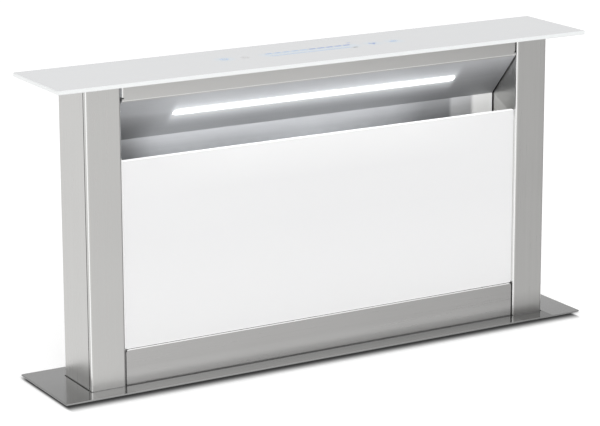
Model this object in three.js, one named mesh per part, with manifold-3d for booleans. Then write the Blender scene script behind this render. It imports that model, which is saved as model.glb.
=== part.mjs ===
// A worktop downdraft vent, raised: a slim tower that rises through a flat plate set in the worktop.
// Millimetres. X runs along the worktop, +Y to the back, +Z up.
// The origin is the centre of the worktop cut-out, level with the worktop's surface.
import * as THREE from 'three';
import { mergeVertices } from 'three/addons/utils/BufferGeometryUtils.js';
import Module from 'manifold-3d';

const wasm = await Module();
wasm.setup();

// ---- Driving dimensions -------------------------------------------------------------------

const SEAT = 0.3;               // gap between two pieces that seat on each other
const SHEET = 1;                // stainless sheet of the skin
const BEND = 1;                 // inside radius of a fold

const WIDTH = 600;              // length of the glass top and of the plate

const GLASS_DEPTH = 104;        // glass top
const GLASS_THICK = 4;
const GLASS_CORNER = 2;
const GLASS_BEVEL = 0.6;
const RAISED_HEIGHT = 305;      // upper face of the glass top above the worktop, tower raised

const PLATE_DEPTH = 106;        // plate that lies on the worktop
const PLATE_THICK = 1.5;
const PLATE_CORNER = 1.5;
const PLATE_BEVEL = 0.4;
const PLATE_LIP = 6;            // turned-down edge of the slot, below the plate
const GASKET_THICK = 1;
const GASKET_INSET = 3;         // from the plate's edge
const SLOT_CLEARANCE = 1;       // between the slot's edge and the tower

const TOWER_INSET = 36;         // from the plate's end to the tower's
const TOWER_DEPTH = 61;
const TOWER_FORWARD = 2.5;      // the tower's middle lies this far in front of the glass's middle
const TOWER_FOOT = 50;          // length of tower below the worktop, tower raised
const COLUMN_WIDTH = 37;        // face of each end column

const COVER_RETURN = 4.5;       // the column cover's turn round the outer corner
const SEAM = 1.2;               // open seam between column cover and side panel
const COVER_REAR_LIP = 12;
const SIDE_REAR_FLANGE = 14;
const REAR_SEAM = 0.6;
const POST_SHEET = 1.5;
const POST_FRONT_FLANGE = 20;
const POST_REAR_FLANGE = 16;

const BOND_THICK = 1;           // adhesive strips between glass top and carrier
const BOND_WIDTH = 8;
const CARRIER_INSET = 0.5;
const CARRIER_SKIRT = 12;

const RAIL_DROP = 21;           // from the glass's upper face to the rail's lower fold
const SOFFIT_DEPTH = 42;        // from the rail's face back to the back wall's face
const SOFFIT_DROP = 47.5;
const BACK_WALL_HEIGHT = 24.5;  // below the soffit, down to the shelf over the filters
const LINER_END_GAP = 1.3;      // between the liner's ends and the columns
const RAIL_RETURN = 9;          // turned-back ends of the rail
const RAIL_NOTCH = 1.5;         // relief slot between each return and the rail's lower fold

const LAMP_LENGTH = 324;        // rounded light strip in the soffit
const LAMP_WIDTH = 9;
const LAMP_DOWN_SLOPE = 28.5;   // from the rail's lower fold to the strip's middle, along the soffit
const LAMP_PROUD = 0.5;
const LAMP_FLANGE = 3;
const LAMP_FLANGE_THICK = 1.5;
const LED_BOARD_THICK = 1.6;
const LED_BOARD_INSET = 3;
const LED_COUNT = 18;
const LED_SIZE = 3;
const LED_HEIGHT = 0.8;
const LED_HOUSING_HEIGHT = 11;
const LED_HOUSING_WALL = 1.2;

const TOUCH_LENGTH = 214;       // control board under the glass
const TOUCH_WIDTH = 34;
const TOUCH_BOARD_THICK = 1.6;
const TOUCH_TRAY_DEPTH = 9;
const TOUCH_TRAY_WALL = 1.5;
const TOUCH_TRAY_FLANGE = 4;
const TOUCH_PAD_COUNT = 12;
const TOUCH_PAD_RADIUS = 5;
const TOUCH_PAD_HEIGHT = 0.6;

const DRIVER_LENGTH = 140;      // power supply of the lights, on the rear panel
const DRIVER_HEIGHT = 34;
const DRIVER_DEPTH = 16;
const DRIVER_ABOVE_SHELF = 30;
const CABLE_RADIUS = 2.5;
const CABLE_BEND = 11;
const BAR_STEP = 5;             // sections of a round bar lie this many radii apart
const RIBBON_WIDTH = 14;
const RIBBON_THICK = 1;
const PLUG_WIDTH = 14;
const PLUG_HEIGHT = 16;
const PLUG_WALL = 1.5;
const GROMMET_RIM = 2;

const PANEL_HEIGHT = 187;       // white glass front panel
const PANEL_THICK = 4;
const PANEL_RECESS = 2.5;       // behind the columns' face
const PANEL_BELOW_TOP = 79;     // panel's upper edge below the glass top's upper face
const PANEL_CORNER = 2;
const PANEL_BEVEL = 0.8;
const PANEL_END_GAP = 0.5;      // between the panel's ends and the columns
const PAN_DEPTH = 7;            // folded steel pan on the panel's back
const PAN_MARGIN = 4;
const PAN_BEAD_WIDTH = 16;      // pressed stiffening beads across the pan
const PAN_BEAD_HEIGHT = 2;
const PAN_BEAD_END = 40;        // from the bead's end to the pan's side
const PAN_BEAD_COUNT = 3;
const PIN_RADIUS = 2;
const PIN_COLLAR = 1;           // the collar stands this much round the pin
const PIN_ABOVE_EDGE = 7.6;     // hinge axis above the panel's lower edge
const PIN_INSIDE = 4;
const PIN_OUTSIDE = 2;
const RUNNING = 0.3;            // gap round a pin, shoe or slide

const MAGNET_WIDTH = 14;
const MAGNET_HEIGHT = 7;
const MAGNET_DEPTH = 6;

const STRIP_RECESS = 1.7;       // steel strip under the front panel, behind the columns' face
const STRIP_GAP = 0.4;          // below the panel's lower edge
const STRIP_CORNER = 3;
const STRIP_FOOT_FLANGE = 10;
const BRACKET_LEG = 14;         // angle that holds each end of the strip to its column
const BRACKET_BELOW_TOP = 12;
const BRACKET_HEIGHT = 50;

const TRAY_FRONT = 21.5;        // grease tray's front lip behind the columns' face
const TRAY_DEPTH = 17;
const TRAY_BELOW_PIN = 6;
const TRAY_FRONT_LIP = 9;
const TRAY_REAR_LIP = 6;

const FILTER_THICK = 9;         // grease filter cassettes, two side by side
const FILTER_LEAN = 24;         // the cassette's top lies this far behind its foot
const FILTER_HEADROOM = 3;      // below the shelf
const FILTER_END_GAP = 1.5;
const FILTER_MIDDLE_GAP = 2;
const FILTER_FOOT_GAP = 2;      // in front of the cassette's foot, in its tray
const FILTER_FLANGE = 8;
const FILTER_SHEET = 0.8;
const SCREEN_SHEET = 0.8;
const SCREEN_PITCH_X = 20;
const SCREEN_PITCH_Z = 11;
const SCREEN_STRAND = 3;
const PLEAT_PITCH = 10;
const PLEAT_SHEET = 0.7;

const LATCH_WIDTH = 34;         // sliding catch at the head of each cassette
const LATCH_HEIGHT = 22;
const LATCH_THICK = 3;
const LATCH_GRIP = 5;           // finger ledge standing out of the catch
const LATCH_GRIP_ROUND = 1.4;   // less than half the catch's thickness
const TONGUE_WIDTH = 12;
const TONGUE_THICK = 2;
const TONGUE_ABOVE_SHELF = 2.5;
const TONGUE_CLEARANCE = 1.2;

const CROSSBAR_HEIGHT = 16;     // ties the columns at the foot; the lift takes hold here
const CROSSBAR_DEPTH = 16;
const CROSSBAR_HOLE = 3;
const CROSSBAR_HOLE_SPACING = 120;

const GUIDE_SHEET = 1.2;        // collar below the plate that guides the tower
const GUIDE_DEPTH = 60;
const GUIDE_CORNER = 4;
const SHOE_WALL = 7;            // nylon shoes round the columns
const SHOE_SIDE_WALL = 5;
const SHOE_HEIGHT = 34;
const SHOE_REACH = 24;
const SHOE_RIB = 1.5;
const SHOE_RIB_WIDTH = 5;
const SEAL_HEIGHT = 6;
const SEAL_BASE = 2;
const SEAL_TIP = 1;
const CUTOUT_CLEARANCE = 3;     // worktop cut-out round the collar

const WORKTOP_THICK = 38;
const CLAMP_SHEET = 2;
const CLAMP_ARM = 22;
const CLAMP_WIDTH = 56;
const CLAMP_UPRIGHT = 24;
const CLAMP_SCREW_RADIUS = 2.5;
const CLAMP_SCREW_SPACING = 34;
const CLAMP_PAD_RADIUS = 6;
const CLAMP_PAD_THICK = 2.5;
const CLAMP_HEAD_RADIUS = 4;
const CLAMP_HEAD_HEIGHT = 3.5;

// ---- Sizes worked out from them -----------------------------------------------------------

const towerX = WIDTH / 2 - TOWER_INSET;
const towerFront = -TOWER_FORWARD - TOWER_DEPTH / 2;
const towerBack = -TOWER_FORWARD + TOWER_DEPTH / 2;
const cheekX = towerX - COLUMN_WIDTH;             // face of the column towards the opening
const openingX = cheekX - LINER_END_GAP;          // half length of liner and strip
const panelX = cheekX - PANEL_END_GAP;            // half length of the front panel
const returnInX = openingX - SHEET - BEND - SEAT; // what lies behind the rail ends here

const plateTop = GASKET_THICK + SEAT + PLATE_THICK;
const glassUnder = RAISED_HEIGHT - GLASS_THICK;
const carrierTop = glassUnder - BOND_THICK - 2 * SEAT;
const columnTop = carrierTop - SHEET - SEAT;
const footZ = -TOWER_FOOT;

const railFoldZ = RAISED_HEIGHT - RAIL_DROP;
const soffitBackZ = railFoldZ - SOFFIT_DROP;
const backWallY = towerFront + SOFFIT_DEPTH;      // face of the back wall
const shelfZ = soffitBackZ - BACK_WALL_HEIGHT;    // underside of the shelf
const innerBack = towerBack - SHEET - SEAT;       // what seats on the rear panel ends here
const innerFront = towerFront + SHEET + SEAT;

const panelTop = RAISED_HEIGHT - PANEL_BELOW_TOP;
const panelBottom = panelTop - PANEL_HEIGHT;
const panelFace = towerFront + PANEL_RECESS;
const panFace = panelFace + PANEL_THICK + SEAT;
const pinY = panFace + SHEET + SEAT + PIN_RADIUS;
const pinZ = panelBottom + PIN_ABOVE_EDGE;
const panX = panelX - PAN_MARGIN;
const stripFace = towerFront + STRIP_RECESS;
const stripTop = panelBottom - STRIP_GAP;

const trayFront = towerFront + TRAY_FRONT;
const trayFloor = pinZ - TRAY_BELOW_PIN;          // underside of the tray

const guideInX = towerX + RUNNING + SHOE_WALL + SEAT;
const guideInFront = towerFront - RUNNING - SHOE_SIDE_WALL - SEAT;
const guideInBack = towerBack + RUNNING + SHOE_SIDE_WALL + SEAT;
const plateUnder = plateTop - PLATE_THICK;
const lipEnd = plateUnder - PLATE_LIP;

// ---- Helpers ------------------------------------------------------------------------------

const COLOURS = {
  steel: [0xb9b8b4, 0.34, 1],
  darkSteel: [0x70706e, 0.5, 1],
  whiteGlass: [0xe9eaec, 0.08, 0],
  aluminium: [0xc4c6c8, 0.4, 1],
  meshAluminium: [0xaeb1b3, 0.55, 1],
  lens: [0xffffff, 0.35, 0],
  board: [0x1f5a3a, 0.6, 0],
  blackPlastic: [0x1c1d1f, 0.55, 0],
  greyPlastic: [0x8d9093, 0.6, 0],
  nylon: [0xe6e4da, 0.6, 0],
  rubber: [0x26272a, 0.85, 0],
  magnet: [0x3a3b3e, 0.45, 1],
};

function mesh(name, geometry, finish) {
  const [color, roughness, metalness] = COLOURS[finish];
  const piece = new THREE.Mesh(geometry, new THREE.MeshStandardMaterial({ color, roughness, metalness }));
  piece.name = name;
  return piece;
}

function toSolid(geometry) {
  const bare = geometry.index ? geometry.toNonIndexed() : geometry.clone();
  bare.deleteAttribute('normal');
  bare.deleteAttribute('uv');
  const merged = mergeVertices(bare, 1e-4);
  return new wasm.Manifold(new wasm.Mesh({
    numProp: 3,
    vertProperties: merged.attributes.position.array,
    triVerts: new Uint32Array(merged.index.array),
  }));
}

function toGeometry(solid) {
  const { vertProperties, triVerts } = solid.getMesh();
  const indexed = new THREE.BufferGeometry();
  indexed.setAttribute('position', new THREE.BufferAttribute(vertProperties, 3));
  indexed.setIndex(new THREE.BufferAttribute(triVerts, 1));
  const geometry = indexed.toNonIndexed();
  geometry.computeVertexNormals();
  return geometry;
}

function cut(geometry, ...tools) {
  return toGeometry(tools.reduce((solid, tool) => solid.subtract(toSolid(tool)), toSolid(geometry)));
}

function join(...geometries) {
  return toGeometry(geometries.map(toSolid).reduce((all, next) => all.add(next)));
}

// Turns a geometry so that its own X, Y and Z axes point along the three given directions.
function turned(geometry, x, y, z) {
  const basis = new THREE.Matrix4().makeBasis(...[x, y, z].map((axis) => new THREE.Vector3(...axis)));
  return geometry.applyMatrix4(basis);
}

const X = [1, 0, 0];
const Y = [0, 1, 0];
const Z = [0, 0, 1];
const MINUS_Y = [0, -1, 0];

function extruded(shape, depth, options = {}) {
  return new THREE.ExtrudeGeometry(shape, { depth, bevelEnabled: false, curveSegments: 4, ...options });
}

// A shape drawn in X and Y, from z = low to z = high.
function standing(shape, low, high) {
  return extruded(shape, high - low).translate(0, 0, low);
}

// A shape drawn in Y and Z, from x = low to x = high.
function alongX(shape, low, high) {
  return turned(extruded(shape, high - low), Y, Z, X).translate(low, 0, 0);
}

// A shape drawn in X and Z, from y = low to y = high.
function alongY(shape, low, high) {
  return turned(extruded(shape, high - low), X, Z, MINUS_Y).translate(0, high, 0);
}

function box(lowX, highX, lowY, highY, lowZ, highZ) {
  const size = [highX - lowX, highY - lowY, highZ - lowZ];
  const middle = [(lowX + highX) / 2, (lowY + highY) / 2, (lowZ + highZ) / 2];
  return new THREE.BoxGeometry(...size).translate(...middle);
}

function cylinderX(radius, low, high, y, z, sides = 20) {
  const rod = new THREE.CylinderGeometry(radius, radius, high - low, sides);
  return turned(rod, Y, X, [0, 0, -1]).translate((low + high) / 2, y, z);
}

function cylinderZ(radius, low, high, x, y, sides = 20) {
  const rod = new THREE.CylinderGeometry(radius, radius, high - low, sides);
  return turned(rod, X, Z, MINUS_Y).translate(x, y, (low + high) / 2);
}

function rectangle(lowU, highU, lowV, highV) {
  return new THREE.Shape([[lowU, lowV], [highU, lowV], [highU, highV], [lowU, highV]].map(
    ([u, v]) => new THREE.Vector2(u, v)));
}

function roundedRectangle(lowU, highU, lowV, highV, radius) {
  const shape = new THREE.Shape();
  shape.absarc(highU - radius, lowV + radius, radius, -Math.PI / 2, 0);
  shape.absarc(highU - radius, highV - radius, radius, 0, Math.PI / 2);
  shape.absarc(lowU + radius, highV - radius, radius, Math.PI / 2, Math.PI);
  shape.absarc(lowU + radius, lowV + radius, radius, Math.PI, Math.PI * 1.5);
  shape.closePath();
  return shape;
}

function stadiumPoints(length, width, steps = 6) {
  const radius = width / 2;
  const reach = length / 2 - radius;
  const end = (side) => Array.from({ length: steps + 1 }, (_, k) => {
    const angle = Math.PI * (k / steps - 0.5);
    return new THREE.Vector2(reach + radius * Math.cos(angle), radius * Math.sin(angle)).multiplyScalar(side);
  });
  return [...end(1), ...end(-1)];
}

function stadium(length, width) {
  return new THREE.Shape(stadiumPoints(length, width));
}

// Joins two convex outlines with as many points each, one at z = low and one at z = high.
function lofted(lower, upper, low, high) {
  const count = lower.length;
  const level = (outline, z) => outline.flatMap(({ x, y }) => [x, y, z]);
  const positions = [...level(lower, low), ...level(upper, high)];
  const index = [];
  for (let i = 0; i < count; i++) {
    const next = (i + 1) % count;
    index.push(i, next, count + next, i, count + next, count + i);
  }
  for (let i = 1; i < count - 1; i++) index.push(0, i + 1, i, count, count + i, count + i + 1);
  const solid = new THREE.BufferGeometry();
  solid.setAttribute('position', new THREE.Float32BufferAttribute(positions, 3));
  solid.setIndex(index);
  const geometry = solid.toNonIndexed();
  geometry.computeVertexNormals();
  return geometry;
}

// Outline of a folded sheet, from its centre line.
function foldedSheet(line, thick = SHEET, bend = BEND, steps = 3) {
  const points = line.map(([u, v]) => new THREE.Vector2(u, v));
  const middle = bend + thick / 2;
  const left = [];
  const right = [];
  points.forEach((point, i) => {
    const into = i > 0 ? point.clone().sub(points[i - 1]).normalize() : null;
    const out = i < points.length - 1 ? points[i + 1].clone().sub(point).normalize() : null;
    if (!into || !out) {
      const along = into ?? out;
      const across = new THREE.Vector2(-along.y, along.x).multiplyScalar(thick / 2);
      left.push(point.clone().add(across));
      right.push(point.clone().sub(across));
      return;
    }
    const turn = Math.atan2(into.cross(out), into.dot(out));
    const hand = Math.sign(turn);
    const start = point.clone().addScaledVector(into, -middle * Math.tan(Math.abs(turn) / 2));
    const centre = start.clone().add(new THREE.Vector2(-into.y, into.x).multiplyScalar(hand * middle));
    const radial = start.clone().sub(centre).normalize();
    for (let k = 0; k <= steps; k++) {
      const spoke = radial.clone().rotateAround(new THREE.Vector2(), (turn * k) / steps);
      left.push(centre.clone().addScaledVector(spoke, middle - (hand * thick) / 2));
      right.push(centre.clone().addScaledVector(spoke, middle + (hand * thick) / 2));
    }
  });
  return new THREE.Shape([...left, ...right.reverse()]);
}

// Corner points of a rectangle, each with the direction in which an outward offset moves it.
function mitredLoop(lowU, highU, lowV, highV) {
  return [[lowU, lowV, -1, -1], [highU, lowV, 1, -1], [highU, highV, 1, 1], [lowU, highV, -1, 1]];
}

function roundedLoop(lowU, highU, lowV, highV, radius, steps = 3) {
  const corners = [
    [highU - radius, lowV + radius, -Math.PI / 2],
    [highU - radius, highV - radius, 0],
    [lowU + radius, highV - radius, Math.PI / 2],
    [lowU + radius, lowV + radius, Math.PI],
  ];
  return corners.flatMap(([u, v, start]) => Array.from({ length: steps + 1 }, (_, k) => {
    const angle = start + (Math.PI / 2) * (k / steps);
    return [u + radius * Math.cos(angle), v + radius * Math.sin(angle), Math.cos(angle), Math.sin(angle)];
  }));
}

// A section of [outward offset, height] points, anticlockwise, carried round a loop.
function sweptRound(loop, section) {
  const positions = loop.flatMap(([u, v, outU, outV]) => section.flatMap(
    ([out, height]) => [u + outU * out, v + outV * out, height]));
  const count = section.length;
  const index = [];
  loop.forEach((_, i) => {
    const next = (i + 1) % loop.length;
    for (let j = 0; j < count; j++) {
      const up = (j + 1) % count;
      const [a, b, c, d] = [i * count + j, next * count + j, next * count + up, i * count + up];
      index.push(a, b, c, a, c, d);
    }
  });
  const ring = new THREE.BufferGeometry();
  ring.setAttribute('position', new THREE.Float32BufferAttribute(positions, 3));
  ring.setIndex(index);
  const geometry = ring.toNonIndexed();
  geometry.computeVertexNormals();
  return geometry;
}

// A pane with polished, bevelled edges, drawn in X and Y, from z = low to z = high.
function bevelledPane(shape, low, high, bevel) {
  return extruded(shape, high - low - 2 * bevel, {
    bevelEnabled: true,
    bevelThickness: bevel,
    bevelSize: bevel,
    bevelOffset: -bevel,
    bevelSegments: 1,
  }).translate(0, 0, low + bevel);
}

// A round bar along straight runs joined by arcs.
function roundBar(corners, radius, bend, sides = 8) {
  const points = corners.map((corner) => new THREE.Vector3(...corner));
  const route = new THREE.CurvePath();
  let from = points[0];
  for (let i = 1; i < points.length - 1; i++) {
    const into = points[i].clone().sub(points[i - 1]).normalize();
    const out = points[i + 1].clone().sub(points[i]).normalize();
    const start = points[i].clone().addScaledVector(into, -bend);
    const end = points[i].clone().addScaledVector(out, bend);
    route.add(new THREE.LineCurve3(from, start));
    route.add(new THREE.QuadraticBezierCurve3(start, points[i], end));
    from = end;
  }
  route.add(new THREE.LineCurve3(from, points.at(-1)));
  const circle = new THREE.Shape(Array.from({ length: sides }, (_, k) => new THREE.Vector2(
    radius * Math.cos((2 * Math.PI * k) / sides), radius * Math.sin((2 * Math.PI * k) / sides))));
  const steps = Math.ceil(route.getLength() / (radius * BAR_STEP));
  return new THREE.ExtrudeGeometry(circle, { steps, extrudePath: route, curveSegments: 1 });
}

// ---- Plate, collar and clamps: the pieces that stay in the worktop -------------------------

function slotLoop(grow) {
  const gap = SLOT_CLEARANCE + grow;
  return [-towerX - gap, towerX + gap, towerFront - gap, towerBack + gap];
}

function basePlate() {
  const outline = roundedRectangle(-WIDTH / 2, WIDTH / 2, -PLATE_DEPTH / 2, PLATE_DEPTH / 2, PLATE_CORNER);
  const slot = roundedRectangle(...slotLoop(0), BEND + PLATE_THICK);
  const lip = roundedRectangle(...slotLoop(PLATE_THICK), BEND + PLATE_THICK);
  lip.holes.push(slot);
  return mesh('base_plate', join(
    cut(bevelledPane(outline, plateUnder, plateTop, PLATE_BEVEL), standing(slot, lipEnd, plateTop + 1)),
    standing(lip, lipEnd, plateUnder + PLATE_THICK / 2),
  ), 'steel');
}

function plateGasket() {
  const halfX = WIDTH / 2 - GASKET_INSET;
  const halfY = PLATE_DEPTH / 2 - GASKET_INSET;
  const gap = GUIDE_SHEET + CUTOUT_CLEARANCE;
  const ring = roundedRectangle(-halfX, halfX, -halfY, halfY, GUIDE_CORNER);
  ring.holes.push(roundedRectangle(-guideInX - gap, guideInX + gap, guideInFront - gap, guideInBack + gap,
    GUIDE_CORNER + gap));
  return mesh('plate_gasket', standing(ring, 0, GASKET_THICK), 'rubber');
}

function guideFrame() {
  const ring = roundedRectangle(-guideInX - GUIDE_SHEET, guideInX + GUIDE_SHEET,
    guideInFront - GUIDE_SHEET, guideInBack + GUIDE_SHEET, GUIDE_CORNER + GUIDE_SHEET);
  ring.holes.push(roundedRectangle(-guideInX, guideInX, guideInFront, guideInBack, GUIDE_CORNER));
  return mesh('guide_frame', standing(ring, -GUIDE_DEPTH, plateUnder - SEAT), 'darkSteel');
}

// A nylon shoe round the end of the tower, with glide ribs towards the column.
function guideShoe(name, side) {
  const inX = towerX + RUNNING;
  const outX = inX + SHOE_WALL;
  const endX = towerX - SHOE_REACH;
  const front = towerFront - RUNNING;
  const back = towerBack + RUNNING;
  const shape = new THREE.Shape();
  const mid = -TOWER_FORWARD;
  const half = TOWER_DEPTH / 2;
  const edge = [
    [endX, front - SHOE_SIDE_WALL], [outX - GUIDE_CORNER, front - SHOE_SIDE_WALL],
    [outX, front - SHOE_SIDE_WALL + GUIDE_CORNER], [outX, back + SHOE_SIDE_WALL - GUIDE_CORNER],
    [outX - GUIDE_CORNER, back + SHOE_SIDE_WALL], [endX, back + SHOE_SIDE_WALL],
    [endX, back], [endX + SHOE_RIB_WIDTH, back], [endX + SHOE_RIB_WIDTH, back + SHOE_RIB],
    [inX + SHOE_RIB, back + SHOE_RIB],
    ...[half / 2, -half / 2].flatMap((y) => [
      [inX + SHOE_RIB, mid + y + SHOE_RIB_WIDTH / 2], [inX, mid + y + SHOE_RIB_WIDTH / 2],
      [inX, mid + y - SHOE_RIB_WIDTH / 2], [inX + SHOE_RIB, mid + y - SHOE_RIB_WIDTH / 2],
    ]),
    [inX + SHOE_RIB, front - SHOE_RIB], [endX + SHOE_RIB_WIDTH, front - SHOE_RIB],
    [endX + SHOE_RIB_WIDTH, front], [endX, front],
  ];
  edge.forEach(([x, y], i) => (i ? shape.lineTo(side * x, y) : shape.moveTo(side * x, y)));
  const top = lipEnd - SEAT - SEAL_HEIGHT - SEAT;
  return mesh(name, standing(shape, top - SHOE_HEIGHT, top), 'nylon');
}

function wiperSeal() {
  const loop = roundedLoop(-towerX, towerX, towerFront, towerBack, BEND);
  const top = lipEnd - SEAT;
  const outer = RUNNING + SHOE_SIDE_WALL;
  const section = [
    [outer, top - SEAL_HEIGHT], [outer, top], [outer - SEAL_BASE, top],
    [RUNNING, top - SEAL_HEIGHT / 3], [RUNNING, top - SEAL_HEIGHT / 3 - SEAL_TIP],
    [outer - SEAL_BASE, top - SEAL_HEIGHT],
  ];
  return mesh('wiper_seal', sweptRound(loop, section), 'rubber');
}

function clampBracket(name, side) {
  const face = guideInX + GUIDE_SHEET + SEAT + CLAMP_SHEET / 2;
  const armZ = -GUIDE_DEPTH + CLAMP_SHEET / 2;
  const line = [[face, armZ + CLAMP_UPRIGHT], [face, armZ], [face + CLAMP_ARM, armZ]];
  const shape = foldedSheet(line.map(([x, z]) => [side * x, z]), CLAMP_SHEET);
  const mid = -TOWER_FORWARD;
  const holes = [-1, 1].map((end) => cylinderZ(CLAMP_SCREW_RADIUS + RUNNING, armZ - CLAMP_SHEET,
    armZ + CLAMP_SHEET, side * clampScrewX(), mid + (end * CLAMP_SCREW_SPACING) / 2, 12));
  return mesh(name, cut(alongY(shape, mid - CLAMP_WIDTH / 2, mid + CLAMP_WIDTH / 2), ...holes), 'darkSteel');
}

function clampScrewX() {
  return guideInX + GUIDE_SHEET + SEAT + CLAMP_ARM / 2 + CLAMP_SHEET;
}

// A screw turned up from below until its pad bears on the worktop's underside.
function clampScrew(name, side, end) {
  const head = -GUIDE_DEPTH - SEAT;
  const profile = [
    [0, head - CLAMP_HEAD_HEIGHT], [CLAMP_HEAD_RADIUS, head - CLAMP_HEAD_HEIGHT], [CLAMP_HEAD_RADIUS, head],
    [CLAMP_SCREW_RADIUS, head], [CLAMP_SCREW_RADIUS, -WORKTOP_THICK - CLAMP_PAD_THICK],
    [CLAMP_PAD_RADIUS, -WORKTOP_THICK - CLAMP_PAD_THICK], [CLAMP_PAD_RADIUS, -WORKTOP_THICK],
    [0, -WORKTOP_THICK],
  ].map(([r, z]) => new THREE.Vector2(r, z));
  const turnedPart = turned(new THREE.LatheGeometry(profile, 16), X, Z, MINUS_Y);
  turnedPart.translate(side * clampScrewX(), -TOWER_FORWARD + (end * CLAMP_SCREW_SPACING) / 2, 0);
  return mesh(name, turnedPart, 'darkSteel');
}

// ---- Tower: posts, skin and top -------------------------------------------------------------

function post(name, side) {
  const webX = towerX - SHEET - SEAT - POST_SHEET / 2;
  const frontY = innerFront + POST_SHEET / 2;
  const backY = innerBack - POST_SHEET / 2;
  const line = [
    [webX - POST_FRONT_FLANGE, frontY], [webX, frontY], [webX, backY], [webX - POST_REAR_FLANGE, backY],
  ].map(([x, y]) => [side * x, y]);
  return mesh(name, standing(foldedSheet(line, POST_SHEET), footZ, columnTop), 'darkSteel');
}

// Front face, outer return and inner cheek of an end column, folded from one sheet.
function columnCover(name, side) {
  const half = SHEET / 2;
  const line = [
    [towerX - half, towerFront + COVER_RETURN], [towerX - half, towerFront + half],
    [cheekX + half, towerFront + half], [cheekX + half, innerBack - half],
    [cheekX + half + COVER_REAR_LIP, innerBack - half],
  ].map(([x, y]) => [side * x, y]);
  const through = [cheekX - SHEET, cheekX + 2 * SHEET].map((x) => side * x).sort((a, b) => a - b);
  const holes = [cylinderX(PIN_RADIUS + RUNNING, ...through, pinY, pinZ)];
  if (side < 0) holes.push(cylinderX(grommetSeatRadius(), ...through, cableY(), driverMiddleZ()));
  return mesh(name, cut(standing(foldedSheet(line), footZ, columnTop), ...holes), 'steel');
}

function sidePanel(name, side) {
  const half = SHEET / 2;
  const line = [
    [towerX - half, towerFront + COVER_RETURN + SEAM], [towerX - half, towerBack - half],
    [towerX - SIDE_REAR_FLANGE, towerBack - half],
  ].map(([x, y]) => [side * x, y]);
  return mesh(name, standing(foldedSheet(line), footZ, columnTop), 'steel');
}

function rearPanel() {
  const halfX = towerX - SIDE_REAR_FLANGE - REAR_SEAM;
  return mesh('rear_panel', box(-halfX, halfX, towerBack - SHEET, towerBack, footZ, columnTop), 'steel');
}

function glassTop() {
  const outline = roundedRectangle(-WIDTH / 2, WIDTH / 2, -GLASS_DEPTH / 2, GLASS_DEPTH / 2, GLASS_CORNER);
  return mesh('glass_top', bevelledPane(outline, glassUnder, RAISED_HEIGHT, GLASS_BEVEL), 'whiteGlass');
}

function bondStrip(name, edgeY) {
  const halfX = towerX - CARRIER_INSET - BOND_WIDTH;
  const low = carrierTop + SEAT;
  const [y0, y1] = edgeY < 0 ? [edgeY, edgeY + BOND_WIDTH] : [edgeY - BOND_WIDTH, edgeY];
  return mesh(name, box(-halfX, halfX, y0, y1, low, low + BOND_THICK), 'rubber');
}

// Tray that carries the glass top: a flat plate over the columns with skirts between them.
function glassCarrier() {
  const half = SHEET / 2;
  const plateZ = carrierTop - half;
  const tray = foldedSheet([
    [innerFront + half, plateZ - CARRIER_SKIRT], [innerFront + half, plateZ],
    [innerBack - half, plateZ], [innerBack - half, plateZ - CARRIER_SKIRT],
  ]);
  const flat = box(-towerX + CARRIER_INSET, towerX - CARRIER_INSET, towerFront + CARRIER_INSET,
    towerBack - CARRIER_INSET, carrierTop - SHEET, carrierTop);
  const window = box(-TOUCH_LENGTH / 2 - SEAT, TOUCH_LENGTH / 2 + SEAT, -TOUCH_WIDTH / 2 - SEAT,
    TOUCH_WIDTH / 2 + SEAT, carrierTop - 2 * SHEET, carrierTop + SHEET);
  return mesh('glass_carrier', cut(join(alongX(tray, -returnInX, returnInX), flat), window), 'darkSteel');
}

function touchTray() {
  const top = glassUnder - SEAT;
  const under = carrierTop - SHEET - SEAT;
  const halfX = TOUCH_LENGTH / 2;
  const halfY = TOUCH_WIDTH / 2;
  const floor = top - TOUCH_TRAY_DEPTH;
  const inX = halfX - TOUCH_TRAY_WALL;
  const inY = halfY - TOUCH_TRAY_WALL;
  const flange = box(-halfX - TOUCH_TRAY_FLANGE, halfX + TOUCH_TRAY_FLANGE, -halfY, halfY,
    under - TOUCH_TRAY_WALL, under);
  const body = join(box(-halfX, halfX, -halfY, halfY, floor, top), flange);
  const hollow = box(-inX, inX, -inY, inY, floor + TOUCH_TRAY_WALL, top + SHEET);
  const ribbonSlot = box(-RIBBON_WIDTH, RIBBON_WIDTH, halfY - 4 * TOUCH_TRAY_WALL, halfY + SHEET,
    floor - SHEET, floor + 2 * TOUCH_TRAY_WALL);
  return mesh('touch_board_tray', cut(body, hollow, ribbonSlot), 'blackPlastic');
}

// Sensor board with its row of spring pads, pressed up against the glass.
function touchBoard() {
  const padTop = glassUnder - SEAT;
  const boardTop = padTop - TOUCH_PAD_HEIGHT;
  const halfX = TOUCH_LENGTH / 2 - TOUCH_TRAY_WALL - SEAT;
  const halfY = TOUCH_WIDTH / 2 - TOUCH_TRAY_WALL - SEAT;
  const pitch = (2 * halfX) / TOUCH_PAD_COUNT;
  const board = box(-halfX, halfX, -halfY, halfY, boardTop - TOUCH_BOARD_THICK, boardTop);
  const pads = Array.from({ length: TOUCH_PAD_COUNT }, (_, i) => cylinderZ(TOUCH_PAD_RADIUS,
    boardTop - TOUCH_BOARD_THICK / 2, padTop, -halfX + pitch * (i + 0.5), 0, 8));
  return mesh('touch_board', join(board, ...pads), 'board');
}

// ---- Liner: rail, soffit, back wall and shelf folded from one sheet -------------------------

const slope = new THREE.Vector2(SOFFIT_DEPTH, -SOFFIT_DROP).normalize();   // down the soffit, in Y and Z
const inward = new THREE.Vector2(-slope.y, slope.x);                       // from its face into the tower
const lampY = towerFront + slope.x * LAMP_DOWN_SLOPE;
const lampZ = railFoldZ + slope.y * LAMP_DOWN_SLOPE;

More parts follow.
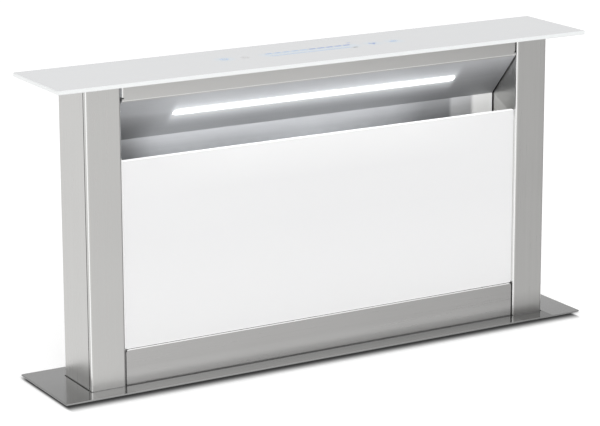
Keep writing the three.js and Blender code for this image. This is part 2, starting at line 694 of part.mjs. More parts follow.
// Places a geometry drawn with X along the lamp, Y down the soffit and Z into the tower.
function onSoffit(geometry) {
  return turned(geometry, X, [0, slope.x, slope.y], [0, inward.x, inward.y]).translate(0, lampY, lampZ);
}

function latchX(side) {
  return side * (FILTER_MIDDLE_GAP / 2 + filterWidth() / 2);
}

function hoodLiner() {
  const half = SHEET / 2;
  const shift = half * Math.tan(Math.atan2(SOFFIT_DEPTH, SOFFIT_DROP) / 2);
  const line = [
    [towerFront + half, columnTop], [towerFront + half, railFoldZ + shift],
    [backWallY + half, soffitBackZ + shift], [backWallY + half, shelfZ + half], [innerBack, shelfZ + half],
  ];
  const lampSlot = onSoffit(standing(stadium(LAMP_LENGTH + 2 * SEAT, LAMP_WIDTH + 2 * SEAT), -SHEET,
    3 * SHEET));
  const tongue = tonguePlace();
  const tongueSlots = [-1, 1].map((side) => box(
    latchX(side) - TONGUE_WIDTH / 2 - TONGUE_CLEARANCE, latchX(side) + TONGUE_WIDTH / 2 + TONGUE_CLEARANCE,
    tongue.low - TONGUE_CLEARANCE, tongue.high + TONGUE_CLEARANCE, shelfZ - SHEET, shelfZ + 2 * SHEET));
  const faceEnd = openingX - SHEET - BEND;
  const notches = [[-openingX - SHEET, -faceEnd], [faceEnd, openingX + SHEET]].map(([x0, x1]) => box(x0, x1,
    towerFront - SHEET, towerFront + SHEET + BEND, railFoldZ + SHEET + BEND, columnTop + SHEET));
  const body = cut(alongX(foldedSheet(line), -openingX, openingX), lampSlot, ...tongueSlots, ...notches);
  return mesh('hood_liner', join(body, railReturn(-1), railReturn(1)), 'steel');
}

// The rail's end, turned back round a fold, with a relief notch under it.
function railReturn(side) {
  const half = SHEET / 2;
  const line = [
    [openingX - 2 * (SHEET + BEND), towerFront + half], [openingX - half, towerFront + half],
    [openingX - half, towerFront + RAIL_RETURN],
  ].map(([x, y]) => [side * x, y]);
  return standing(foldedSheet(line), railFoldZ + SHEET + BEND + RAIL_NOTCH, columnTop);
}

function ledLens() {
  const flangeLow = SHEET + SEAT;
  return mesh('led_lens', onSoffit(join(
    standing(stadium(LAMP_LENGTH, LAMP_WIDTH), -LAMP_PROUD, flangeLow + LAMP_FLANGE_THICK),
    standing(stadium(LAMP_LENGTH + 2 * LAMP_FLANGE, LAMP_WIDTH + 2 * LAMP_FLANGE), flangeLow,
      flangeLow + LAMP_FLANGE_THICK),
  )), 'lens');
}

const ledBoardLow = SHEET + 2 * SEAT + LAMP_FLANGE_THICK + LED_HEIGHT;

function ledBoard() {
  const halfX = LAMP_LENGTH / 2 - LED_BOARD_INSET;
  const halfY = LAMP_WIDTH / 2 - SHEET;
  const pitch = (2 * halfX) / LED_COUNT;
  const board = box(-halfX, halfX, -halfY, halfY, ledBoardLow, ledBoardLow + LED_BOARD_THICK);
  const chips = Array.from({ length: LED_COUNT }, (_, i) => {
    const x = -halfX + pitch * (i + 0.5);
    return box(x - LED_SIZE / 2, x + LED_SIZE / 2, -LED_SIZE / 2, LED_SIZE / 2,
      ledBoardLow - LED_HEIGHT, ledBoardLow + LED_BOARD_THICK / 2);
  });
  return mesh('led_board', onSoffit(join(board, ...chips)), 'board');
}

// Aluminium channel over the board, seated on the soffit round the lens.
function ledHousing() {
  const wall = LED_HOUSING_WALL;
  const halfX = LAMP_LENGTH / 2 + LAMP_FLANGE + SEAT + wall;
  const halfY = LAMP_WIDTH / 2 + LAMP_FLANGE + SEAT + wall;
  const low = SHEET + SEAT;
  const shell = box(-halfX, halfX, -halfY, halfY, low, low + LED_HOUSING_HEIGHT);
  const hollow = box(-halfX + wall, halfX - wall, -halfY + wall, halfY - wall, low - SHEET,
    low + LED_HOUSING_HEIGHT - wall);
  const shelfLow = ledBoardLow + LED_BOARD_THICK + SEAT;
  const web = box(-halfX + wall / 2, halfX - wall / 2, -wall, wall, shelfLow,
    low + LED_HOUSING_HEIGHT - wall / 2);
  return mesh('led_housing', onSoffit(join(cut(shell, hollow), web)), 'aluminium');
}

// ---- Electrics in the sealed space above the shelf ------------------------------------------

function driverLow() {
  return shelfZ + SHEET + DRIVER_ABOVE_SHELF;
}

function driverMiddleZ() {
  return driverLow() + DRIVER_HEIGHT / 2;
}

function cableY() {
  return innerBack - DRIVER_DEPTH / 2;
}

function grommetSeatRadius() {
  return CABLE_RADIUS + SEAT + GROMMET_RIM;
}

function lightDriver() {
  const body = box(-DRIVER_LENGTH / 2, DRIVER_LENGTH / 2, innerBack - DRIVER_DEPTH, innerBack,
    driverLow(), driverLow() + DRIVER_HEIGHT);
  const ear = DRIVER_DEPTH / 2;
  const ears = box(-DRIVER_LENGTH / 2 - ear, DRIVER_LENGTH / 2 + ear, innerBack - 2 * SHEET, innerBack,
    driverMiddleZ() - ear, driverMiddleZ() + ear);
  return mesh('led_driver', join(body, ears), 'blackPlastic');
}

function columnMiddleX() {
  return towerX - COLUMN_WIDTH / 2;
}

// Supply cable from the driver through the cheek and down the left column.
function supplyCable() {
  const earEnd = DRIVER_LENGTH / 2 + SEAT;
  const y = cableY();
  const z = driverMiddleZ();
  const bodyFace = DRIVER_DEPTH / 2;
  const x = -columnMiddleX();
  return mesh('supply_cable', roundBar([
    [-earEnd - bodyFace, y, z], [x, y, z], [x, -TOWER_FORWARD, z],
    [x, -TOWER_FORWARD, footZ + PLUG_HEIGHT + SEAT],
  ], CABLE_RADIUS, CABLE_BEND), 'blackPlastic');
}

function supplyPlug() {
  const half = PLUG_WIDTH / 2;
  const y = -TOWER_FORWARD;
  const shell = box(-columnMiddleX() - half, -columnMiddleX() + half, y - half, y + half, footZ,
    footZ + PLUG_HEIGHT);
  const inside = half - PLUG_WALL;
  const socket = box(-columnMiddleX() - inside, -columnMiddleX() + inside, y - inside, y + inside,
    footZ - SHEET, footZ + PLUG_HEIGHT / 2);
  return mesh('supply_plug', cut(shell, socket), 'blackPlastic');
}

function cableGrommet() {
  const seat = grommetSeatRadius() - SEAT;
  const rim = grommetSeatRadius() + GROMMET_RIM;
  const inside = CABLE_RADIUS + SEAT;
  const half = SHEET / 2 + SEAT;
  const profile = [
    [inside, -half - GROMMET_RIM], [rim, -half - GROMMET_RIM], [rim, -half], [seat, -half], [seat, half],
    [rim, half], [rim, half + GROMMET_RIM], [inside, half + GROMMET_RIM], [inside, -half - GROMMET_RIM],
  ].map(([r, x]) => new THREE.Vector2(r, x));
  const ring = turned(new THREE.LatheGeometry(profile, 16), Y, X, [0, 0, -1]);
  return mesh('cable_grommet', ring.translate(-cheekX - SHEET / 2, cableY(), driverMiddleZ()), 'rubber');
}

// Flat cable from the control board down to the driver.
function ribbonCable() {
  const start = glassUnder - SEAT - TOUCH_PAD_HEIGHT - TOUCH_BOARD_THICK - SEAT;
  const y = TOUCH_WIDTH / 2 - 2.5 * TOUCH_TRAY_WALL;
  const line = [[y, start], [y, start - 2 * TOUCH_TRAY_DEPTH], [cableY(), driverLow() + DRIVER_HEIGHT
    + TOUCH_TRAY_DEPTH], [cableY(), driverLow() + DRIVER_HEIGHT + SEAT]];
  return mesh('ribbon_cable', alongX(foldedSheet(line, RIBBON_THICK), -RIBBON_WIDTH / 2, RIBBON_WIDTH / 2),
    'greyPlastic');
}

// ---- Front: hinged glass panel and the strip under it ----------------------------------------

function frontGlass() {
  const outline = roundedRectangle(-panelX, panelX, panelBottom, panelTop, PANEL_CORNER);
  const pane = bevelledPane(outline, 0, PANEL_THICK, PANEL_BEVEL);
  return mesh('front_glass', turned(pane, X, Z, MINUS_Y).translate(0, panelFace + PANEL_THICK, 0),
    'whiteGlass');
}

// Folded pan bonded to the glass, with a rim, pressed beads and holes for the hinge pins.
function frontPan() {
  const low = panelBottom + PAN_MARGIN;
  const high = panelTop - PAN_MARGIN;
  const shell = alongY(roundedRectangle(-panX, panX, low, high, PANEL_CORNER), panFace, panFace + PAN_DEPTH);
  const hollow = box(-panX + SHEET, panX - SHEET, panFace + SHEET, panFace + PAN_DEPTH + SHEET,
    low + SHEET, high - SHEET);
  const pitch = (high - low) / (PAN_BEAD_COUNT + 1);
  const middles = Array.from({ length: PAN_BEAD_COUNT }, (_, i) => low + pitch * (i + 1));
  const spread = [-panX - SHEET, panX + SHEET];
  const beads = middles.map((z) => panBead(z, 0, SHEET / 2, SHEET + PAN_BEAD_HEIGHT));
  const grooves = middles.map((z) => panBead(z, SHEET, -SHEET, PAN_BEAD_HEIGHT));
  return mesh('front_panel_pan', cut(join(cut(shell, hollow), ...beads), ...grooves,
    cylinderX(PIN_RADIUS + SEAT, ...spread, pinY, pinZ)), 'steel');
}

// One side of a pressed bead, a long rounded ridge narrowing towards the back.
function panBead(z, inset, low, high) {
  const length = 2 * (panX - PAN_BEAD_END) - 2 * inset;
  const width = PAN_BEAD_WIDTH - 2 * inset;
  const ridge = lofted(stadiumPoints(length - PAN_BEAD_WIDTH / 2, width - PAN_BEAD_WIDTH / 2),
    stadiumPoints(length, width), -high, -low);
  return turned(ridge, X, Z, MINUS_Y).translate(0, panFace, z);
}

function hingePin(name, side) {
  const collarIn = panX + SEAT;
  const collarOut = cheekX - RUNNING;
  const profile = [
    [0, panX - PIN_INSIDE], [PIN_RADIUS, panX - PIN_INSIDE], [PIN_RADIUS, collarIn],
    [PIN_RADIUS + PIN_COLLAR, collarIn], [PIN_RADIUS + PIN_COLLAR, collarOut], [PIN_RADIUS, collarOut],
    [PIN_RADIUS, cheekX + SHEET + PIN_OUTSIDE], [0, cheekX + SHEET + PIN_OUTSIDE],
  ].map(([r, x]) => new THREE.Vector2(r, x));
  const pin = turned(new THREE.LatheGeometry(profile, 20), Y, X, [0, 0, -1]);
  if (side < 0) pin.rotateZ(Math.PI);
  return mesh(name, pin.translate(0, pinY, pinZ), 'steel');
}

function magnetCatch(name, side) {
  const nearX = cheekX - SEAT;
  const low = panFace + PAN_DEPTH + SEAT;
  const top = panelTop - PAN_MARGIN - SHEET;
  const [x0, x1] = [side * nearX, side * (nearX - MAGNET_WIDTH)].sort((a, b) => a - b);
  return mesh(name, box(x0, x1, low, low + MAGNET_DEPTH, top - MAGNET_HEIGHT, top), 'magnet');
}

// Strip under the front panel, with rounded upper corners, that runs on down through the plate.
function bottomStrip() {
  const half = SHEET / 2;
  const face = new THREE.Shape();
  face.moveTo(-openingX, footZ);
  face.lineTo(openingX, footZ);
  face.absarc(openingX - STRIP_CORNER, stripTop - STRIP_CORNER, STRIP_CORNER, 0, Math.PI / 2);
  face.absarc(-openingX + STRIP_CORNER, stripTop - STRIP_CORNER, STRIP_CORNER, Math.PI / 2, Math.PI);
  face.closePath();
  const flange = foldedSheet([
    [stripFace + half, footZ + 2 * BEND + 2 * SHEET], [stripFace + half, footZ + half],
    [stripFace + STRIP_FOOT_FLANGE, footZ + half],
  ]);
  return mesh('bottom_strip', join(alongY(face, stripFace, stripFace + SHEET),
    alongX(flange, -openingX, openingX)), 'steel');
}

// Small angle between the column's cheek and the back of the strip.
function stripBracket(name, side) {
  const half = SHEET / 2;
  const sideX = cheekX - SEAT - half;
  const frontY = stripFace + SHEET + SEAT + half;
  const line = [[sideX, frontY + BRACKET_LEG], [sideX, frontY], [sideX - BRACKET_LEG, frontY]];
  const top = stripTop - BRACKET_BELOW_TOP;
  return mesh(name, standing(foldedSheet(line.map(([x, y]) => [side * x, y])), top - BRACKET_HEIGHT, top),
    'darkSteel');
}

// ---- Grease filters ---------------------------------------------------------------------------

const filterFootY = trayFront + SHEET + FILTER_FOOT_GAP + FILTER_THICK / 2;
const filterFootZ = trayFloor + SHEET + SEAT;
const filterTopZ = shelfZ - FILTER_HEADROOM;
const filterAngle = Math.atan2(FILTER_LEAN, filterTopZ - filterFootZ);
const filterRise = filterTopZ - filterFootZ - FILTER_THICK * Math.sin(filterAngle);
const filterLength = filterRise / Math.cos(filterAngle);

function filterWidth() {
  return cheekX - FILTER_END_GAP - FILTER_MIDDLE_GAP / 2;
}

function greaseTray() {
  const half = SHEET / 2;
  const frontY = trayFront + half;
  const rearY = trayFront + TRAY_DEPTH - half;
  const line = [
    [frontY, trayFloor + TRAY_FRONT_LIP], [frontY, trayFloor + half],
    [rearY, trayFloor + half], [rearY, trayFloor + TRAY_REAR_LIP],
  ];
  const endX = cheekX - SEAT;
  return mesh('grease_tray', alongX(foldedSheet(line), -endX, endX), 'steel');
}

// Leaned frame of one cassette: X across, Y to the back, Z up its length, from its foot.
function cassettePlace(side) {
  const place = new THREE.Group();
  place.position.set(latchX(side), filterFootY, filterFootZ + (FILTER_THICK / 2) * Math.sin(filterAngle));
  place.rotation.x = -filterAngle;
  return place;
}

function filterFrame(name) {
  const halfX = filterWidth() / 2;
  const half = FILTER_THICK / 2;
  const t = FILTER_SHEET;
  const section = [
    [0, -half], [0, half], [-FILTER_FLANGE, half], [-FILTER_FLANGE, half - t], [-t, half - t],
    [-t, t - half], [-FILTER_FLANGE, t - half], [-FILTER_FLANGE, -half],
  ];
  const ring = sweptRound(mitredLoop(-halfX, halfX, 0, filterLength), section);
  return mesh(name, turned(ring, X, Z, MINUS_Y), 'aluminium');
}

function diamond(x, z, halfX, halfZ) {
  return new THREE.Path([[x - halfX, z], [x, z - halfZ], [x + halfX, z], [x, z + halfZ]].map(
    ([u, v]) => new THREE.Vector2(u, v)));
}

// Expanded-metal screen behind the frame's front flange.
function filterScreen(name) {
  const halfX = filterWidth() / 2 - FILTER_SHEET - SEAT;
  const low = FILTER_SHEET + SEAT;
  const high = filterLength - FILTER_SHEET - SEAT;
  const sheet = rectangle(-halfX, halfX, low, high);
  const rim = FILTER_FLANGE - FILTER_SHEET;
  const columns = Math.floor((2 * (halfX - rim)) / SCREEN_PITCH_X);
  const rows = 2 * Math.floor((high - low - 2 * rim) / SCREEN_PITCH_Z / 2) - 1;
  const middle = (low + high) / 2;
  for (let row = 0; row < rows; row++) {
    const inRow = columns - (row % 2);
    for (let i = 0; i < inRow; i++) {
      sheet.holes.push(diamond((i - (inRow - 1) / 2) * SCREEN_PITCH_X,
        middle + (row - (rows - 1) / 2) * SCREEN_PITCH_Z,
        (SCREEN_PITCH_X - SCREEN_STRAND) / 2, SCREEN_PITCH_Z - SCREEN_STRAND / 2));
    }
  }
  const front = -FILTER_THICK / 2 + FILTER_SHEET + SEAT;
  return mesh(name, alongY(sheet, front, front + SCREEN_SHEET), 'meshAluminium');
}

// Knitted mesh folded into pleats that fill the frame behind the screen.
function filterMesh(name) {
  const halfX = filterWidth() / 2 - FILTER_SHEET - SEAT - PLEAT_SHEET;
  const front = -FILTER_THICK / 2 + FILTER_SHEET + 2 * SEAT + SCREEN_SHEET + PLEAT_SHEET;
  const back = FILTER_THICK / 2 - FILTER_SHEET - SEAT - PLEAT_SHEET;
  const folds = 2 * Math.round(halfX / PLEAT_PITCH * 2);
  const line = Array.from({ length: folds + 1 }, (_, i) => [
    -halfX + (2 * halfX * i) / folds, i % 2 ? front : back,
  ]);
  const low = FILTER_SHEET + SEAT;
  return mesh(name, standing(foldedSheet(line, PLEAT_SHEET, PLEAT_SHEET / 2, 1), low,
    filterLength - FILTER_SHEET - SEAT), 'meshAluminium');
}

const latchFront = -FILTER_THICK / 2 - RUNNING - LATCH_THICK;
const tongueLow = -FILTER_THICK / 2 - RUNNING - TONGUE_THICK;
const tongueTop = (shelfZ + SHEET + TONGUE_ABOVE_SHELF - filterFootZ) / Math.cos(filterAngle);

// Where the tongue passes the shelf, along Y.
function tonguePlace() {
  const back = (shelfZ - filterFootZ) * Math.tan(filterAngle);
  const middle = filterFootY + back + (tongueLow + TONGUE_THICK / 2) / Math.cos(filterAngle);
  const half = TONGUE_THICK / 2 + SHEET * Math.tan(filterAngle);
  return { low: middle - half, high: middle + half };
}

// Sliding catch: pulled down the cassette against its spring, it draws the tongue out of the shelf.
function filterLatch(name) {
  const top = filterLength - FILTER_HEADROOM;
  const halfX = LATCH_WIDTH / 2;
  const plate = roundedRectangle(-halfX, halfX, top - LATCH_HEIGHT, top, LATCH_THICK);
  const body = alongY(plate, latchFront, latchFront + LATCH_THICK);
  const gripZ = top - LATCH_HEIGHT / 2;
  const ledge = roundedRectangle(latchFront - LATCH_GRIP, latchFront + LATCH_THICK / 2,
    gripZ - LATCH_THICK / 2, gripZ + LATCH_THICK / 2, LATCH_GRIP_ROUND);
  const grip = alongX(ledge, -halfX + LATCH_THICK, halfX - LATCH_THICK);
  const tongue = box(-TONGUE_WIDTH / 2, TONGUE_WIDTH / 2, tongueLow, tongueLow + TONGUE_THICK,
    top - LATCH_THICK, tongueTop);
  return mesh(name, join(body, grip, tongue), 'blackPlastic');
}

// ---- Foot of the tower --------------------------------------------------------------------------

// Channel that ties the columns together at the foot, where the lift drive is bolted on.
function liftCrossbar() {
  const half = POST_SHEET / 2;
  const back = innerBack - half;
  const front = back - CROSSBAR_DEPTH;
  const low = footZ + half;
  const high = low + CROSSBAR_HEIGHT;
  const line = [[front, high], [front, low], [back, low], [back, high]];
  const endX = cheekX - SEAT;
  const holes = [-1, 1].map((end) => cylinderZ(CROSSBAR_HOLE, footZ - SHEET, footZ + 3 * SHEET,
    (end * CROSSBAR_HOLE_SPACING) / 2, (front + back) / 2, 16));
  const channel = alongX(foldedSheet(line, POST_SHEET), -endX, endX);
  return mesh('lift_crossbar', cut(channel, ...holes), 'darkSteel');
}

// ---- Assembly -----------------------------------------------------------------------------------

const SIDES = [['left', -1], ['right', 1]];
const ENDS = [['front', -1], ['rear', 1]];

function worktopFrame() {
  const frame = new THREE.Group();
  frame.add(basePlate(), plateGasket(), guideFrame(), wiperSeal());
  for (const [word, side] of SIDES) {
    frame.add(guideShoe(`${word}_guide_shoe`, side), clampBracket(`${word}_clamp_bracket`, side));
    for (const [place, end] of ENDS) frame.add(clampScrew(`${word}_${place}_clamp_screw`, side, end));
  }
  return frame;
}

function cassette(word, side) {
  const place = cassettePlace(side);
  place.add(filterFrame(`${word}_filter_frame`), filterScreen(`${word}_filter_screen`),
    filterMesh(`${word}_filter_mesh`), filterLatch(`${word}_filter_latch`));
  return place;
}

function frontPanel() {
  const panel = new THREE.Group();
  panel.add(frontGlass(), frontPan());
  for (const [word, side] of SIDES) panel.add(hingePin(`${word}_hinge_pin`, side));
  return panel;
}

function tower() {
  const body = new THREE.Group();
  body.add(glassTop(), bondStrip('front_bond_strip', innerFront), bondStrip('rear_bond_strip', innerBack));
  body.add(glassCarrier(), touchTray(), touchBoard());
  body.add(hoodLiner(), ledLens(), ledBoard(), ledHousing());
  body.add(lightDriver(), supplyCable(), supplyPlug(), cableGrommet(), ribbonCable());
  body.add(rearPanel(), bottomStrip(), greaseTray(), liftCrossbar());
  for (const [word, side] of SIDES) {
    body.add(post(`${word}_post`, side), columnCover(`${word}_column_cover`, side));
    body.add(sidePanel(`${word}_side_panel`, side), magnetCatch(`${word}_magnet_catch`, side));
    body.add(stripBracket(`${word}_strip_bracket`, side));
    body.add(cassette(word, side));
  }
  return body;
}

const group = new THREE.Group();
group.add(worktopFrame(), tower(), frontPanel());

export default group;
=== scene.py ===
"""A worktop downdraft vent, raised: finishes, touch signs and screw heads on its solids. Metres, +Z up."""
import math

import bmesh
import bpy
from mathutils import Matrix, Vector


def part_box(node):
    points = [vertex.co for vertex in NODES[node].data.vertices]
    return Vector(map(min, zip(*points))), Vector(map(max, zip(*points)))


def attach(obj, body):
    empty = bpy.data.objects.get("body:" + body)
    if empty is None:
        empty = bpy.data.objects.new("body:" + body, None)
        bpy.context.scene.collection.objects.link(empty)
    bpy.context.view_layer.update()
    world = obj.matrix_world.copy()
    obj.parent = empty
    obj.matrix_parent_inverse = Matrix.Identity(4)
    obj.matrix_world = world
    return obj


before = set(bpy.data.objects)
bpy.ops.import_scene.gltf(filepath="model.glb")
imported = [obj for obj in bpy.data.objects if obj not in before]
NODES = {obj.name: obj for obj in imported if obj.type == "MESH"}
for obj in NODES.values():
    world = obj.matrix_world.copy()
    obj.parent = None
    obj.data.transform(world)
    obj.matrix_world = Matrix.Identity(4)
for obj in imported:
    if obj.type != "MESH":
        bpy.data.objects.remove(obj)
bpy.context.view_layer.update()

# Lowest and highest corners of the nodes that finishes, signs and screws go by.
PLATE_LOW, PLATE_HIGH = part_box("base_plate")
STRIP_LOW, STRIP_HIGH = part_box("bottom_strip")
COLUMN_LOW, COLUMN_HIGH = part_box("right_column_cover")
LINER_LOW, LINER_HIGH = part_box("hood_liner")
LENS_LOW, LENS_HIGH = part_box("led_lens")
PANE_LOW, PANE_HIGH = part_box("front_glass")
BACK_LOW, BACK_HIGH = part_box("rear_panel")
TOP_LOW, TOP_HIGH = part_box("glass_top")

# ---- Camera ---------------------------------------------------------------------------------

IMAGE_WIDTH = 600
SENSOR = 36                               # millimetres
CAMERA_PLACE = Vector((-1.2119, -2.0587, 0.7618))
CAMERA_YAW = 0.5273                       # radians from +Y towards +X
CAMERA_PITCH = -0.2296
CAMERA_ROLL = -0.0029
FOCAL_PIXELS = 2441.5                     # focal length in pixels of a 600 pixel wide image
HORIZON_SHIFT = -0.105                    # share of the image's width

# ---- Room, floor and lights -----------------------------------------------------------------

AMBIENT = 0.9                             # the room's level for all but the camera and reflections
FLOOR_RADIUS = 8.0
FLOOR_SIDES = 64
FLOOR_TONE = 0.86
FLOOR_LIFT = 0.3                          # keeps the unshaded floor white for the camera
SHADOW_REACH = (0.0055, 0.0195)           # how far the shadow beside the plate runs out, along X and Y
SHADOW_TRIM_LOW = (0.001, 0.0)            # how far it stops short of the plate's low corner, along X and Y
SHADOW_TRIM_HIGH = (0.011, 0.014)
SHADOW_FLOOR = 0.07                       # what is left of the floor's light at the plate's edge

# A span says where a change starts and where it ends. These are shares of a direction along one axis.
ROOM_LEVEL = 1.04
ROOM_FRONT_Y = (-0.5, 0.3)
ROOM_RIGHT_X = (0.45, 0.66)
ROOM_RIGHT_SHADE = 0.68
ROOM_BEHIND_Y = (-0.2, 0.2)
ROOM_OVERHEAD_Z = (-0.02, 0.34)
ROOM_OVERHEAD_SHADE = 0.55

SOFTBOX_TARGET = (0.0, 0.0, 0.15)
SOFTBOXES = {                             # place, size and watts
    "key": ((-1.6, -2.2, 2.6), (2.4, 2.0), 14),
    "fill": ((1.8, -1.6, 1.2), (1.6, 1.6), 4),
}

# ---- Colours and surfaces -------------------------------------------------------------------

BLACK = (0.0, 0.0, 0.0)
WHITE = (1.0, 1.0, 1.0)
STEEL = (0.58, 0.576, 0.564)
# A darker copy of STEEL for the strip and grease tray: painted shade and a darker painted reflection from
# the plate below.
STRIP_STEEL = (0.49, 0.485, 0.478)
RAIL_STEEL = (0.6, 0.595, 0.583)
PLATE_STEEL = (0.56, 0.56, 0.556)
LINER_STEEL = (0.66, 0.67, 0.69)
# Painted highlight and painted light on steel: its folds, the left column's foot and the strip's top and
# foot.
HIGHLIGHT_STEEL = (0.97, 0.97, 0.96)
LIP_LIGHT_STEEL = (0.9, 0.9, 0.9)
# Painted shade on the plate's cut edges, standing in for the floor's shadow that they mirror.
CUT_EDGE_SHADE = (0.3, 0.3, 0.3)
ZINC_COAT = (0.5, 0.5, 0.5)
FRAME_ALUMINIUM = (0.74, 0.745, 0.75)
WIRE = (0.62, 0.63, 0.64)
BOARD_GREEN = (0.03, 0.16, 0.08)
# The glass edges' colours are lighter than their faces: the glass's own edge tone with a painted highlight.
TOP_WHITE = (0.78, 0.79, 0.805)
TOP_EDGE = (0.93, 0.95, 0.95)
PANE_WHITE = (0.905, 0.905, 0.91)
PANE_EDGE = (0.95, 0.955, 0.955)
LENS_WHITE = (0.97, 0.98, 1.0)

STEEL_ROUGH = 0.3
PLATE_ROUGH = 0.15
LINER_ROUGH = 0.38
LINER_METAL = 0.7                         # the rest is satin scatter
STEEL_CONTRAST = 0.04                     # how far light and dark lie from the colour, as a share of it
PLATE_CONTRAST = 0.02
FRAME_CONTRAST = 0.05

GRAINS = {                                # brushing lines run along the axis that is stretched
    "upright": (1.0, 1.0, 0.012),
    "level": (0.012, 1.0, 1.0),
}
SOFT = 2.0                                # detail of a noise, in octaves
CRISP = 3.0
HAIRLINE_SCALE = 2600.0                   # noise scales are features per metre, roughly
HAIRLINE_DEPTH = 0.00003
STREAK_SCALE = 260.0
CLOUD_SCALE = 9.0
CLOUD_SHARE = 0.3                         # of the tone; hairlines and streaks share the rest
BRUSHED_SPREAD = (-0.03, 0.04)            # of roughness
FOLD_RUB = 0.12                           # how much smoother folds are
FOLD_TURN = (0.3, 0.46)                   # product of the normal's X and Y, 0.5 halfway round a fold
NOISE_CORE = (0.35, 0.65)                 # where most of a noise's values lie
NOISE_REACH = (0.3, 0.7)

DRIFT_SCALE = 30.0
PLAIN_CONTRAST = 0.08
PLAIN_SPREAD = (-0.06, 0.06)              # of roughness
CRYSTAL_SCALE = 140.0
CRYSTAL_TONES = (0.82, 1.12)
CRYSTAL_ROUGH = (0.36, 0.52)
CRYSTAL_GRAIN = 900.0
CRYSTAL_DEPTH = 0.00004
RUN_SCALE = 120.0
RUN_WIDTH = 0.03                          # share of the grid's pitch
RUN_TONE = 1.9
RUN_DEPTH = 0.00004
BOARD_ROUGH = 0.35
WIRE_SCALE = 260.0
WIRE_WAVER = 1.2
WIRE_SHADE = 0.25                         # tone between the wires
WIRE_ROUGH = 0.42
WIRE_DEPTH = 0.0004
WIRE_STRENGTH = 0.8
BUMP_STRENGTH = 0.4

PLAIN_FINISHES = {                        # grain is a noise scale, depth its height
    "pan": dict(colour=(0.8, 0.8, 0.81), rough=0.45, grain=900.0, depth=0.00005, metallic=0.3,
                contrast=0.03),
    "zinc": dict(colour=(0.62, 0.62, 0.6), rough=0.28, grain=1200.0, depth=0.00003, metallic=1.0),
    "aluminium": dict(colour=(0.66, 0.67, 0.68), rough=0.33, grain=900.0, depth=0.00005, metallic=1.0),
    "black_plastic": dict(colour=(0.03, 0.03, 0.034), rough=0.5, grain=1500.0, depth=0.00006),
    "cable": dict(colour=(0.03, 0.03, 0.03), rough=0.55, grain=700.0, depth=0.00004),
    "ribbon": dict(colour=(0.4, 0.42, 0.43), rough=0.55, grain=900.0, depth=0.00004),
    "nylon": dict(colour=(0.8, 0.79, 0.74), rough=0.5, grain=800.0, depth=0.00004, contrast=0.03),
    "rubber": dict(colour=(0.04, 0.04, 0.045), rough=0.75, grain=1100.0, depth=0.0001),
    "gasket": dict(colour=(0.1, 0.1, 0.105), rough=0.8, grain=1100.0, depth=0.0001),
    "magnet": dict(colour=(0.1, 0.1, 0.11), rough=0.4, grain=900.0, depth=0.00004, metallic=1.0),
    "soft_grey_sign": dict(colour=(0.58, 0.58, 0.57), rough=0.4, grain=900.0, depth=0.00001),
    "olive_grey_sign": dict(colour=(0.2, 0.2, 0.185), rough=0.4, grain=900.0, depth=0.00001),
}
SIGN_LIGHTS = {
    "pale_blue_sign": (0.36, 0.52, 0.78),
    "clear_blue_sign": (0.1, 0.2, 0.58),
}
SIGN_LIGHT = 0.05
SIGN_ROUGH = 0.3
SIGN_GRAIN = 600.0
SIGN_SHADE = 0.94                         # darkest tone, as a share of the ink's colour

# Shares of a normal along one axis, over which a face starts to count as looking that way.
GLASS_FACING = (0.5, 0.95)
PLATE_FACING = (0.6, 0.95)
SIDE_FACING = (0.9, 0.98)
CHEEK_FACING = (0.94, 0.98)
GAP_FACING = (0.6, 0.9)
WALL_FACING = (-0.98, -0.9)

# ---- Glass ----------------------------------------------------------------------------------

GLASS_DRIFT_SCALE = 5.0
GLASS_DRIFT = 0.01
GLASS_GRAIN = 40.0
GLASS_ROUGH = (0.05, 0.09)
COAT_WEIGHT = 0.5                         # of the clear layer over the glass
COAT_ROUGH = 0.03
# painted glow on the pane's edges
PANE_EDGE_GLOW = 0.6
PANE_FOOT_LIGHT_Z = (-0.075, 0.105)       # over the pane's foot
PANE_HEAD_LIGHT_Z = (-0.04, -0.007)       # over the pane's head
PANE_HEAD_LIGHT = 0.7
PANE_HEAD_LIGHT_X = (0.1, 0.2)            # from the middle, to both sides
PANE_HEAD_LIGHT_ENDS = 0.2                # share of the light that stays at the ends
TOP_PALER = 0.14                          # painted light, at the glass top's left end
TOP_PALER_LENGTH = 0.4

# ---- Lamp and liner -------------------------------------------------------------------------

LAMP_STRENGTH = 10.0
LENS_CORE = 0.0033                        # the lamp is white hot this far from its middle line
LENS_CORE_EDGE = 0.0002
LENS_RIM = 0.0045
RIM_GLOW = (1.05, 0.62)                   # strength at the core's border and at the rim
LENS_GRAIN = 400.0
LENS_ROUGH = 0.4
GLOW = 0.4                                # of the lamp on the steel right beside it
GLOW_REACH = (0.0046, 0.034)              # from the lamp's middle line
GLOW_FALL = 3.2                           # the power by which it fades
GLOW_END_HOLD = 3.0                       # the glow fades this much faster past the lamp's ends
GLOW_COLOUR = (0.94, 0.97, 1.0)
FAR_END_COLOUR = (1.0, 1.0, 0.97)

# On the liner DEPTH runs back from the rail's face, HEIGHT up from the liner's foot, LEFT and RIGHT in from
# the liner's ends, and X from the middle.
FAR_END_RIGHT = (0.0457, 0.0657)
RAIL_SKIN_DEPTH = (0.0005, 0.002)
RAIL_FOLD_TURN = 0.36                     # how far the rail's lower fold, with its painted highlight, faces down
RAIL_FOLD_SPREAD = (0.06, 0.16)
RAIL_SHADE = 0.12
RAIL_SHADE_X = (0.0, 0.23)
RAIL_END_GLOW = 0.2
RAIL_END_DEPTH = (0.004, 0.006)
BEHIND_RAIL_SHADE = 0.31
BEHIND_RAIL_DEPTH = (0.002, 0.019)
BEHIND_RAIL_RIGHT = (0.0257, 0.1057)
LEFT_END_SHADE = 0.55
LEFT_END_LEFT = (0.0097, 0.0497)
LEFT_END_DEPTH = (0.011, 0.037)

